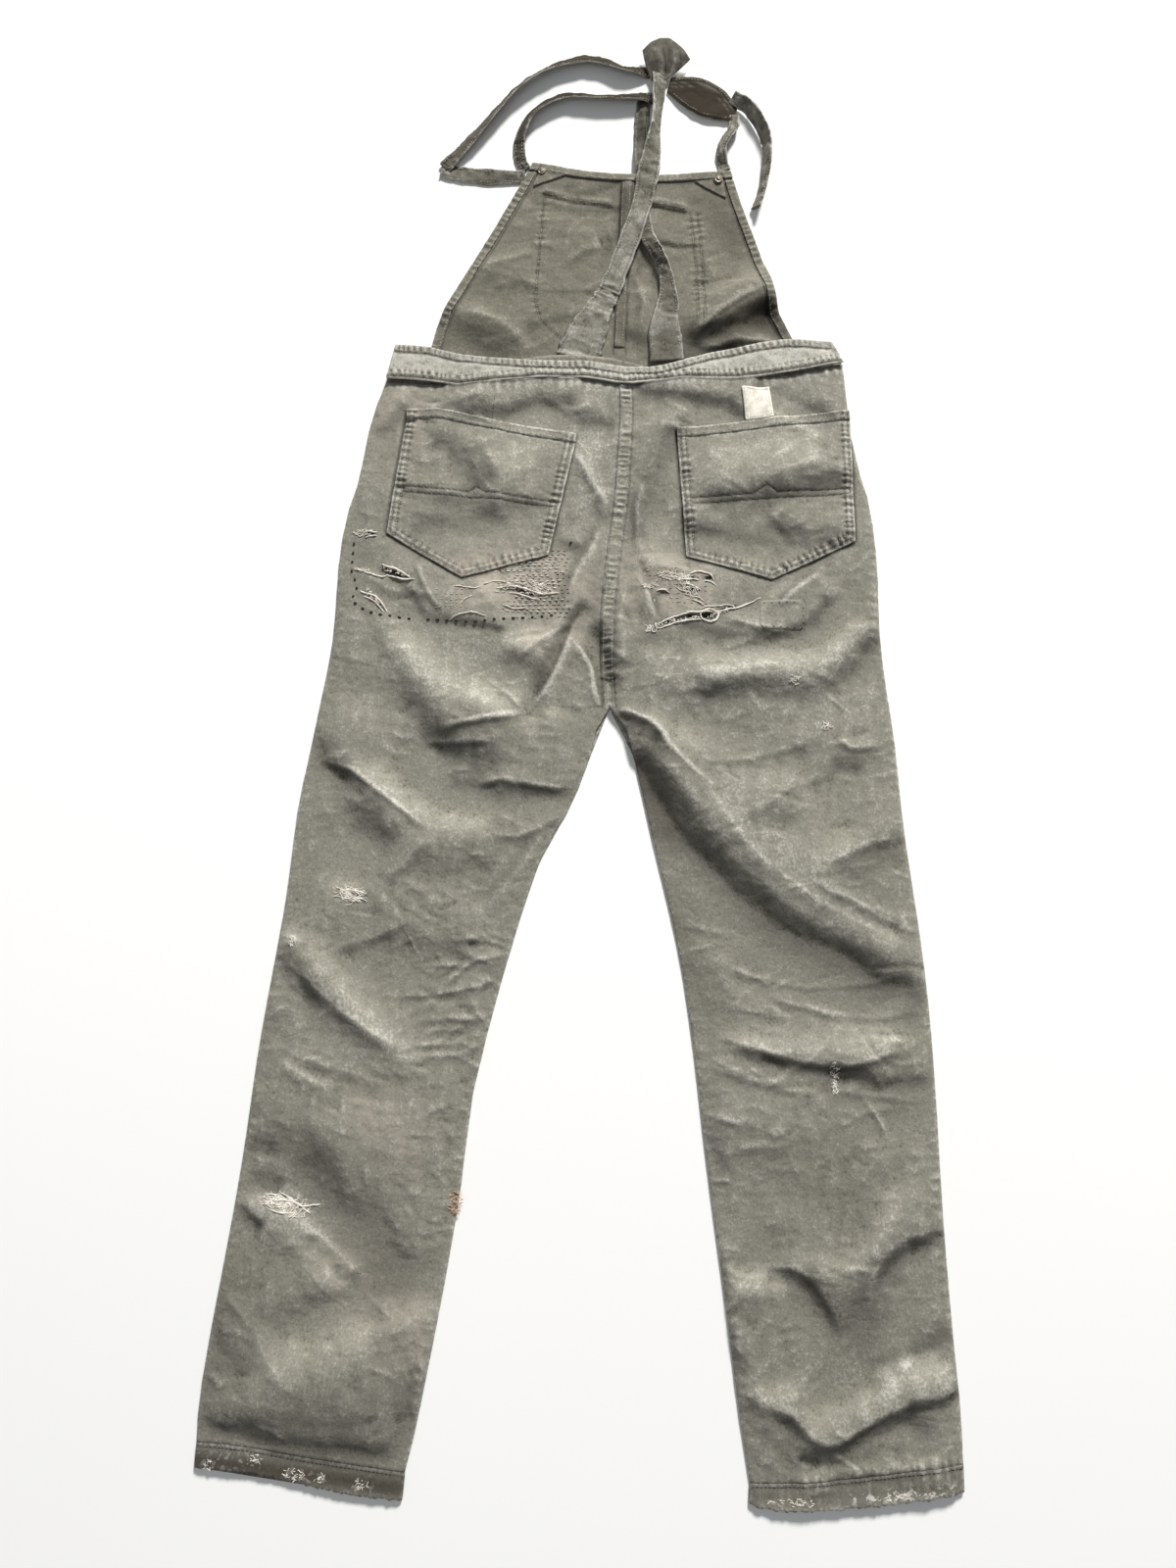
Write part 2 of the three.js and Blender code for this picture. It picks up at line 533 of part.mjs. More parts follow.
const seamLength = (from, to) => Math.hypot(to[0] - from[0], to[1] - from[1]);
const frontLeft = seamLength(FRONT_WAIST[0], FRONT_WAIST[1]);
const frontRight = seamLength(FRONT_WAIST[1], FRONT_WAIST[2]);
const CENTRE_FRONT_SHARE = frontLeft / (frontLeft + frontRight);
const frontBandRows = surface({
  left: straight([FRONT_BAND_TOP[0], [FRONT_WAIST[0][0], FRONT_WAIST[0][1] + GAP]]),
  right: straight([FRONT_BAND_TOP[2], [FRONT_WAIST[2][0], FRONT_WAIST[2][1] + GAP]]),
  top: straight(FRONT_BAND_TOP),
  bottom: moved(straight(FRONT_WAIST), 0, GAP),
  across: [0, CENTRE_FRONT_SHARE, 1],
  down: evenly(1),
  height: () => CLOTH,
});
add("waistband_front", wall(frontBandRows, CLOTH), twill);

// ---- bib, inner face up, and what is sewn to it ----
const [BIB_FOLDS_FROM, BIB_FOLDS_TO] = [384, 402]; // the bib lies level under the waistband
function bibHeight(x, y, fromLeft, fromRight) {
  const side = 1 - Math.exp(-Math.min(fromLeft, fromRight) / BIB_ROLL);
  const rise = foldRise(BIB_FOLDS, x, y) * smoothstep(BIB_FOLDS_FROM, BIB_FOLDS_TO, y);
  return mix(BIB_EDGE, BIB_TOP + rise, side);
}
const BIB_HEM = 8;
const SIDE_HEM_END = 389; // where the waistband starts to cover the side hems
const CUT_PAST_EDGE = 3;
const CORNER_SPACE = 4; // the side hems start this far below the top hem
const bibRows = surface({
  left: edge(BIB_LEFT),
  right: edge(BIB_RIGHT),
  top: edge(BIB_UPPER),
  bottom: straight(BIB_LOWER),
  across: [0, 0.03, 0.08, 0.16, 0.27, 0.38, 0.5, 0.62, 0.73, 0.84, 0.92, 0.97, 1],
  down: evenly(12),
  height: bibHeight,
});
add("bib", wall(bibRows, CLOTH), twillInside);

// A strip of the bib along one of its sides, inside the edge points; over is how far the cut passes them.
function sideStrip(points, inward, over) {
  const outside = points.map(([x, y]) => [x - inward * over, y]);
  const inside = points.map(([x, y]) => [x + inward * BIB_HEM * 1.15, y]).reverse();
  return [...outside, ...inside];
}
const below = (points, drop) => points.map(([x, y]) => [x, y - drop]);
const topHem = [
  [BIB_UPPER[0][0] - 1, BIB_UPPER[0][1] + 2],
  ...below(BIB_UPPER.slice(1, -1), -2),
  [BIB_UPPER.at(-1)[0] + 1, BIB_UPPER.at(-1)[1] + 2],
  [BIB_UPPER.at(-1)[0] + 3, BIB_UPPER.at(-1)[1] - BIB_HEM],
  ...below(BIB_UPPER.slice(1, -1), BIB_HEM).reverse(),
  [BIB_UPPER[0][0] - 5, BIB_UPPER[0][1] - BIB_HEM],
];
add("bib_top_hem", layer(bibRows, topHem, CLOTH), twillInside);
const sideTop = (points) => {
  const [x0, y0] = points[0];
  const [x1, y1] = points[1];
  const share = (BIB_HEM + CORNER_SPACE) / (y0 - y1);
  const last = [points.at(-1)[0], SIDE_HEM_END];
  return [[mix(x0, x1, share), mix(y0, y1, share)], ...points.slice(1, -1), last];
};
const leftStrip = sideStrip(sideTop(BIB_LEFT.slice(0, -1)), 1, CUT_PAST_EDGE);
const rightStrip = sideStrip(sideTop(BIB_RIGHT.slice(0, -1)), -1, CUT_PAST_EDGE);
add("bib_side_hem_left", layer(bibRows, leftStrip, CLOTH), twillInside);
add("bib_side_hem_right", layer(bibRows, rightStrip, CLOTH), twillInside);
add("bib_centre_seam", layer(bibRows, BIB_CENTRE_STRIP, CLOTH), twillInside);
add("bib_corner_left", layer(bibRows, BIB_CORNER_LEFT, CLOTH), twillInside);
add("bib_corner_right", layer(bibRows, BIB_CORNER_RIGHT, CLOTH), twillInside);

const chest = (outline) => {
  const shape = new THREE.Shape(outline.map(([x, y]) => new THREE.Vector2(x, y)));
  return new THREE.ExtrudeGeometry(shape, { depth: CLOTH, bevelEnabled: false });
};
add("bib_pocket_left", chest(CHEST_POCKET_LEFT), twill);
add("bib_pocket_right", chest(CHEST_POCKET_RIGHT), twill);

const BUTTON_REST = BIB_TOP + GAP + CLOTH + GAP;
for (const [name, [x, y]] of Object.entries(BUTTONS)) {
  const profile = BUTTON_PROFILE.map(([radius, height]) => new THREE.Vector2(radius, height));
  const button = new THREE.LatheGeometry(profile, BUTTON_SIDES);
  button.rotateX(Math.PI / 2);
  button.translate(x, y, BUTTON_REST);
  add(name, geometryOf(solidOf(button)), buttonMetal);
}

// ---- straps ----
for (const [name, stations] of Object.entries(STRAPS)) add(name, band(stations, STRAP), twill);

function bandPatch({ left, right, top, bottom }, across, down, height) {
  const edges = { left: edge(left), right: edge(right), top: edge(top), bottom: edge(bottom) };
  return surface({ ...edges, across: evenly(across), down: evenly(down), height });
}

// The fold at the top stands up from its lower edge, and less near its sides.
const TOP_FOLD_LOW = 6.6;
const TOP_FOLD_RISE = 7;
const TOP_FOLD_SIDE = 10;
const [TOP_FOLD_FROM, TOP_FOLD_TO] = [703, 735];
function topFoldHeight(x, y, fromLeft, fromRight) {
  const side = Math.min(1, Math.min(fromLeft, fromRight) / TOP_FOLD_SIDE + 0.2);
  return TOP_FOLD_LOW + TOP_FOLD_RISE * smoothstep(TOP_FOLD_FROM, TOP_FOLD_TO, y) * side;
}
add("strap_top_fold", wall(bandPatch(TOP_FOLD, 6, 5, topFoldHeight), STRAP), twill);

// The inner face of the right strap arches between its two ends.
const INNER_BAND_END = 2.2;
const INNER_BAND_RISE = 2.6;
const [INNER_BAND_FROM, INNER_BAND_TO] = [96, 172];
function innerBandHeight(x) {
  const share = (x - INNER_BAND_FROM) / (INNER_BAND_TO - INNER_BAND_FROM);
  const arch = Math.sin(Math.PI * THREE.MathUtils.clamp(share, 0, 1));
  return INNER_BAND_END + INNER_BAND_RISE * arch;
}
add("strap_right_inner", wall(bandPatch(INNER_BAND, 8, 3, innerBandHeight), STRAP), twillInside);

export default overalls;
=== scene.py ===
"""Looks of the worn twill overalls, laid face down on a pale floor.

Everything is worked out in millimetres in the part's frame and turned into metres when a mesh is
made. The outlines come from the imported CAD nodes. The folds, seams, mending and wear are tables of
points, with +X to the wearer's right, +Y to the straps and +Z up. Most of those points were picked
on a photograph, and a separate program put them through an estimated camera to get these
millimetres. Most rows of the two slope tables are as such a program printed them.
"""

import math

import bpy
import numpy as np
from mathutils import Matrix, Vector


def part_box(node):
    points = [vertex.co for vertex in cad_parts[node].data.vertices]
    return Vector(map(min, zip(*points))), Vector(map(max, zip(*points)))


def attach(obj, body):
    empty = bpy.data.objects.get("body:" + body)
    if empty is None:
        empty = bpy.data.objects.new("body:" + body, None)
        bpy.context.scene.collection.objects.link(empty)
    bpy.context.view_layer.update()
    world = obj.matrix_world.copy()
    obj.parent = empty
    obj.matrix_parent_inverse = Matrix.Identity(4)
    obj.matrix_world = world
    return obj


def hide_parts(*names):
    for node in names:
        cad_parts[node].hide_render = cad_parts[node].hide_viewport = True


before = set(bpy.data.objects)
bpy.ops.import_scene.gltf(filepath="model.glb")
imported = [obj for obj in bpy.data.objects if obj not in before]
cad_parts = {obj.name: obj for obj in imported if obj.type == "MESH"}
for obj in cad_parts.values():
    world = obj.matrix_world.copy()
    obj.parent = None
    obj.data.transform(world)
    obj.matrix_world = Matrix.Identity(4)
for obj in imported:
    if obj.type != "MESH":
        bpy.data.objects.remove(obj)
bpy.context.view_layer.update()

MM = 0.001
SIDES = ("left", "right")
CELL = 1.5  # spacing of the relief grid
CLOTH = 1.2
HEM_CLOTH = 2.2
GAP = 0.3
LIFT = CLOTH + GAP  # what lies on a panel is this much higher at its top
LEAST_UPWARD = 0.25  # a face belongs to a piece's top if its normal points up at least this much
FLOOR = "floor"


# ---------------------------------------------------------------- reading the frame
def node_triangles(name):
    """The node's triangles as an array (n, 3, 3) in mm."""
    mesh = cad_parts[name].data
    mesh.calc_loop_triangles()
    points = np.array([v.co for v in mesh.vertices], float) / MM
    corners = np.array([t.vertices for t in mesh.loop_triangles], int)
    return points[corners]


def facing_up(triangles):
    normal = np.cross(triangles[:, 1] - triangles[:, 0], triangles[:, 2] - triangles[:, 0])
    length = np.linalg.norm(normal, axis=1)
    keep = length > 1e-9
    return triangles[keep][normal[keep, 2] / length[keep] > LEAST_UPWARD]


def outline(name):
    """The outer edge of the node's upper face, as an ordered loop of points in mm, anticlockwise."""
    triangles = facing_up(node_triangles(name))
    numbers = {}
    corners = []
    for point in triangles.reshape(-1, 3):
        key = tuple(np.round(point, 1))
        corners.append(numbers.setdefault(key, len(numbers)))
    places = np.array(list(numbers), float)
    triples = np.array(corners).reshape(-1, 3)
    edges = dict.fromkeys(edge for a, b, c in triples for edge in ((a, b), (b, c), (c, a)))
    following = {a: b for a, b in edges if (b, a) not in edges}
    start = next(iter(following))
    loop = [start]
    while following[loop[-1]] != start and len(loop) <= len(following):
        loop.append(following[loop[-1]])
    return places[loop]


# ---------------------------------------------------------------- curves in the plane
def resampled(points, count):
    """Points at even distances along a line of points."""
    points = np.asarray(points, float)
    lengths = np.r_[0, np.cumsum(np.linalg.norm(np.diff(points[:, :2], axis=0), axis=1))]
    at = np.linspace(0, lengths[-1], count)
    return np.stack([np.interp(at, lengths, points[:, k]) for k in range(points.shape[1])], axis=1)


def rounded(points, count, passes=3):
    """A smooth curve near the points, from the first to the last."""
    line = resampled(points, count)
    for _ in range(passes):
        line[1:-1] = (line[:-2] + 2 * line[1:-1] + line[2:]) / 4
    return line


def line_length(points):
    return float(np.linalg.norm(np.diff(np.asarray(points, float)[:, :2], axis=0), axis=1).sum())


def smoothed(points, spacing, least):
    """A slightly smoothed line with its points about spacing apart."""
    return rounded(points, max(least, int(line_length(points) / spacing)), 1)


def inset(line, amount):
    """A line moved to the left of its travel (to the right if amount is negative)."""
    line = np.asarray(line, float)[:, :2]
    ahead = np.gradient(line, axis=0)
    ahead /= np.linalg.norm(ahead, axis=1)[:, None] + 1e-9
    return line + amount * np.stack([-ahead[:, 1], ahead[:, 0]], axis=1)


def split_loop(loop, corners):
    """The loop cut at the points nearest to four corners: top left, top right, bottom right, bottom left."""
    at = [int(np.argmin(np.hypot(loop[:, 0] - x, loop[:, 1] - y))) for x, y in corners]
    n = len(loop)

    def run(a, b, step):
        out = [loop[a]]
        while a != b:
            a = (a + step) % n
            out.append(loop[a])
        return np.array(out)

    top_left, top_right, bottom_right, bottom_left = at
    return {
        "top": run(top_left, top_right, -1),
        "right": run(top_right, bottom_right, -1),
        "bottom": run(bottom_left, bottom_right, 1),
        "left": run(top_left, bottom_left, 1),
    }


def edge_polyline(side_name, node, corners, count=60):
    """One side of a node's outline, from its top or its left end on."""
    return resampled(split_loop(outline(node), corners)[side_name][:, :2], count)


def coons(sides, across, down, smooth=3):
    """A grid of (x, y) between four sides, as an array (down, across, 2)."""
    top = rounded(sides["top"][:, :2], across, smooth)
    bottom = rounded(sides["bottom"][:, :2], across, smooth)
    left = rounded(sides["left"][:, :2], down, smooth)
    right = rounded(sides["right"][:, :2], down, smooth)
    u = np.linspace(0, 1, across)[None, :, None]
    v = np.linspace(0, 1, down)[:, None, None]
    ruled = (1 - u) * left[:, None] + u * right[:, None] + (1 - v) * top[None] + v * bottom[None]
    corners = (1 - v) * ((1 - u) * top[0] + u * top[-1]) + v * ((1 - u) * bottom[0] + u * bottom[-1])
    return ruled - corners


def nearest_on_line(x, y, points):
    """Distance to a line of points, the share of its length there, and 1 on its left or -1 on its right."""
    points = np.asarray(points, float)[:, :2]
    lengths = np.r_[0, np.cumsum(np.linalg.norm(np.diff(points, axis=0), axis=1))]
    best = np.full(np.shape(x), np.inf)
    along = np.zeros(np.shape(x))
    side = np.ones(np.shape(x))
    for k in range(len(points) - 1):
        ax, ay = points[k]
        bx, by = points[k + 1]
        length = lengths[k + 1] - lengths[k]
        if length < 1e-9:
            continue
        ux, uy = (bx - ax) / length, (by - ay) / length
        t = np.clip((x - ax) * ux + (y - ay) * uy, 0, length)
        dx, dy = x - ax - t * ux, y - ay - t * uy
        d = np.hypot(dx, dy)
        closer = d < best
        best = np.where(closer, d, best)
        along = np.where(closer, (lengths[k] + t) / lengths[-1], along)
        side = np.where(closer, np.where(ux * (y - ay) - uy * (x - ax) >= 0, 1, -1), side)
    return best, along, side


def around(line, reach):
    """The lowest and highest x and y of a line with a margin round it."""
    points = np.asarray(line, float)[:, :2]
    return points.min(0) - reach, points.max(0) + reach


def sum_of_spots(x, y, spots):
    total = np.zeros(len(x))
    for strength, reach, line in spots:
        distance, _, _ = nearest_on_line(x, y, line)
        total = np.maximum(total, strength * np.exp(-((distance / reach) ** 2)))
    return total


# ---------------------------------------------------------------- smooth steps and noise
def smoothstep(low, high, value):
    t = np.clip((value - low) / (high - low), 0, 1)
    return t * t * (3 - 2 * t)


def soft_floor(z, floor, softness=0.8):
    """Heights kept over a floor, with a soft bend where they meet it."""
    return floor + softness * np.log1p(np.exp(np.clip((z - floor) / softness, -30, 30)))


def faded_ends(along, taper):
    """1 in the middle of a line and 0 at its ends, which it reaches over the share taper of its length."""
    return smoothstep(-0.02, taper, along) * smoothstep(-0.02, taper, 1 - along)


def bell(distance, reach):
    return np.exp(-((distance / reach) ** 2))


def blurred(z, cells):
    """Gaussian blur of an array, with its edges mirrored."""
    pad = int(3 * cells) + 2
    wide = np.pad(z, pad, mode="reflect")
    fy = np.fft.fftfreq(wide.shape[0])[:, None]
    fx = np.fft.rfftfreq(wide.shape[1])[None]
    soft = np.exp(-2 * (math.pi * cells) ** 2 * (fx**2 + fy**2))
    out = np.fft.irfft2(np.fft.rfft2(wide) * soft, s=wide.shape)
    return out[pad:-pad, pad:-pad]


def noise_field(shape, cells, seed, stretch=(1, 1)):
    """Smooth noise with unit spread over an array, with features about cells wide."""
    source = np.random.default_rng(seed)
    raw = source.standard_normal(shape)
    fy = np.fft.fftfreq(shape[0])[:, None] * stretch[1]
    fx = np.fft.rfftfreq(shape[1])[None] * stretch[0]
    soft = np.exp(-2 * (math.pi * cells / 2.5) ** 2 * (fx**2 + fy**2))
    out = np.fft.irfft2(np.fft.rfft2(raw) * soft, s=shape)
    return out / out.std()


# ---------------------------------------------------------------- reliefs: heights over the plane
LEAST_HEIGHT = 4.0  # of the back panels' tops over the surface, where the front panels lie under them
FOLD_GAIN = 0.62  # share of a body fold's stated height that is used
FOLD_POWER = 1.4  # 2 gives a round fold, 1 a sharp one
# The pale line along a sharp ridge's crest is a painted highlight.
CREST_HIGHLIGHT_GAIN = 0.8  # how pale the rubbed line on a sharp ridge is
CREST_REACH = 1.7
UPHILL = (0.30, 0.954)  # the way that a positive tilt faces
SLOPE_MARGIN = 60  # mm round the relief, so that its folds don't wrap from one side to the other
SLOPE_CALM = 0.06  # keeps the steepest short waves out of the broad folds
WORN_REACH = 3.2  # what stands out of the surroundings within this reach is worn
WORN_HEIGHT = 0.6


class Relief:
    """Heights in mm on a grid of CELL spacing, from low to high."""

    def __init__(self, low, high):
        self.low = np.array(low, float)
        shape = np.ceil((np.array(high) - self.low) / CELL).astype(int) + 1
        self.xs = self.low[0] + CELL * np.arange(shape[0])
        self.ys = self.low[1] + CELL * np.arange(shape[1])
        self.z = np.full((shape[1], shape[0]), np.nan)
        # The tilt is also painted into the colour: as light where it is positive, as shade where it is
        # negative.
        self.tilt = np.zeros_like(self.z)  # how far each place faces the light
        self.fine = None  # how far each place stands out of its surroundings
        # seams also holds painted shadows beside raised edges and painted shade round openings.
        self.seams = []  # dark lines along seams: (strength, reach, line)

    def stamp(self, triangles):
        """Sets the heights that triangles cover, the highest one where they lie over each other."""
        for a, b, c in triangles:
            lo = np.minimum(np.minimum(a, b), c)
            hi = np.maximum(np.maximum(a, b), c)
            i0, i1 = np.searchsorted(self.xs, [lo[0] - 0.01, hi[0] + 0.01])
            j0, j1 = np.searchsorted(self.ys, [lo[1] - 0.01, hi[1] + 0.01])
            if i0 >= i1 or j0 >= j1:
                continue
            x, y = np.meshgrid(self.xs[i0:i1], self.ys[j0:j1])
            area = (b[0] - a[0]) * (c[1] - a[1]) - (b[1] - a[1]) * (c[0] - a[0])
            if abs(area) < 1e-9:
                continue
            q = ((x - a[0]) * (c[1] - a[1]) - (y - a[1]) * (c[0] - a[0])) / area
            r = ((b[0] - a[0]) * (y - a[1]) - (b[1] - a[1]) * (x - a[0])) / area
            z = a[2] + q * (b[2] - a[2]) + r * (c[2] - a[2])
            inside = (q >= -1e-6) & (r >= -1e-6) & (q + r <= 1 + 1e-6)
            block = self.z[j0:j1, i0:i1]
            block[inside] = np.fmax(block[inside], z[inside])

    def spread(self, passes=40):
        """Fills the cells outside the outline from their neighbours."""
        for _ in range(passes):
            empty = np.isnan(self.z)
            if not empty.any():
                break
            padded = np.pad(self.z, 1, constant_values=np.nan)
            near = np.stack([padded[:-2, 1:-1], padded[2:, 1:-1], padded[1:-1, :-2], padded[1:-1, 2:]])
            found = ~np.isnan(near)
            total = np.where(found, near, 0).sum(0)
            number = found.sum(0)
            fill = empty & (number > 0)
            self.z[fill] = total[fill] / number[fill]
        self.z[np.isnan(self.z)] = np.nanmin(self.z)

    def blurred(self, radius):
        return blurred(self.z, radius / CELL)

    def near(self, line, reach):
        """The cells round a line, and for each its distance, share of the line's length, and side."""
        low, high = around(line, reach)
        i0, i1 = np.searchsorted(self.xs, [low[0], high[0]])
        j0, j1 = np.searchsorted(self.ys, [low[1], high[1]])
        x, y = np.meshgrid(self.xs[i0:i1], self.ys[j0:j1])
        return (slice(j0, j1), slice(i0, i1)), *nearest_on_line(x, y, line)

    def crease(self, height, left, right, points, taper=0.22):
        """A soft ridge, or a trough where height is negative, along points. left and right are its reach."""
        cells, distance, along, side = self.near(points, 2.4 * max(left, right))
        width = np.where(side > 0, left, right)
        self.z[cells] += height * np.exp(-((distance / width) ** FOLD_POWER)) * faded_ends(along, taper)

    def pucker(self, points, spacing, height, near, far, seed):
        """Short folds that a tight seam pulls, across the line, between near and far from it."""
        cells, distance, along, side = self.near(points, abs(far) + abs(near) + 3)
        length = line_length(points)
        knots = np.linspace(0, 1, max(4, int(length / spacing / 2)))
        source = np.random.default_rng(seed)
        shift = np.interp(along, knots, source.uniform(-0.6, 0.6, len(knots)))
        size = np.interp(along, knots, source.uniform(0.1, 1.3, len(knots)))
        wave = np.cos(2 * math.pi * (along * length / spacing + shift))
        middle, half = (near + far) / 2, abs(far - near) / 2
        window = np.exp(-(((distance * side - middle) / (half + 0.01)) ** 4))
        inside = (along > 0.001) & (along < 0.999)
        self.z[cells] += height * size * wave * window * inside

    def shade_creases(self, creases, gain):
        """Adds painted shade to the steep side of each ridge and a painted highlight along its crest, through
        the tilt.
        """
        for height, left, right, points in creases:
            if height <= 0:
                continue
            steep = min(left, right)
            crest = smoothed(points, 6, 4)
            foot = inset(crest, steep * (0.7 if left < right else -0.7))
            darkness = gain * min(1.2, 0.35 + height / steep)
            self.shade_line(foot, 3 * steep, 0.4 * steep + 0.8, -darkness, 0.25)
            self.shade_line(crest, 3 * CREST_REACH, CREST_REACH, CREST_HIGHLIGHT_GAIN * min(1.0, height / steep), 0.3)

    def shade_line(self, line, margin, reach, strength, taper):
        cells, distance, along, _ = self.near(line, margin)
        self.tilt[cells] += strength * bell(distance, reach) * faded_ends(along, taper)

    def tilt_by(self, bands, slope, drift):
        """Adds the broad folds whose slopes are given as bands, and keeps the slopes for the painted light
        and shade.
        """
        for strength, reach, line in bands:
            cells, distance, _, _ = self.near(line, 2.5 * reach)
            self.tilt[cells] += strength * bell(distance, reach)
        pad = int(SLOPE_MARGIN / CELL)
        wide = np.pad(slope * self.tilt, pad)
        fy = np.fft.fftfreq(wide.shape[0], CELL)[:, None] * 2 * math.pi
        fx = np.fft.rfftfreq(wide.shape[1], CELL)[None] * 2 * math.pi
        rise = -1j * (fx * UPHILL[0] + fy * UPHILL[1])
        calm = SLOPE_CALM * (fx**2 + fy**2) + 1 / drift**2
        folds = np.fft.irfft2(np.fft.rfft2(wide) * np.conj(rise) / (np.abs(rise) ** 2 + calm), s=wide.shape)
        self.z += folds[pad:-pad, pad:-pad]

    def roughen(self, lumps):
        """Adds smooth random lumps: (height, size in cells, seed, stretch) of each kind."""
        for height, cells, seed, stretch in lumps:
            self.z += height * noise_field(self.z.shape, cells, seed, stretch)

    def note_crests(self):
        """Notes which places stand out of their surroundings, for the wear."""
        self.fine = (self.z - self.blurred(WORN_REACH)) / WORN_HEIGHT

    def sample(self, x, y, field=None):
        z = self.z if field is None else field
        i = np.clip((np.asarray(x, float) - self.xs[0]) / CELL, 0, len(self.xs) - 1.001)
        j = np.clip((np.asarray(y, float) - self.ys[0]) / CELL, 0, len(self.ys) - 1.001)
        i0, j0 = i.astype(int), j.astype(int)
        a, b = i - i0, j - j0
        return (
            z[j0, i0] * (1 - a) * (1 - b)
            + z[j0, i0 + 1] * a * (1 - b)
            + z[j0 + 1, i0] * (1 - a) * b
            + z[j0 + 1, i0 + 1] * a * b
        )


def own_relief(nodes, margin, blur):
    """The relief of some nodes' own tops."""
    triangles = np.concatenate([facing_up(node_triangles(node)) for node in nodes])
    flat = triangles.reshape(-1, 3)[:, :2]
    relief = Relief(flat.min(0) - margin, flat.max(0) + margin)
    relief.stamp(triangles)
    relief.spread()
    relief.z = relief.blurred(blur)
    return relief


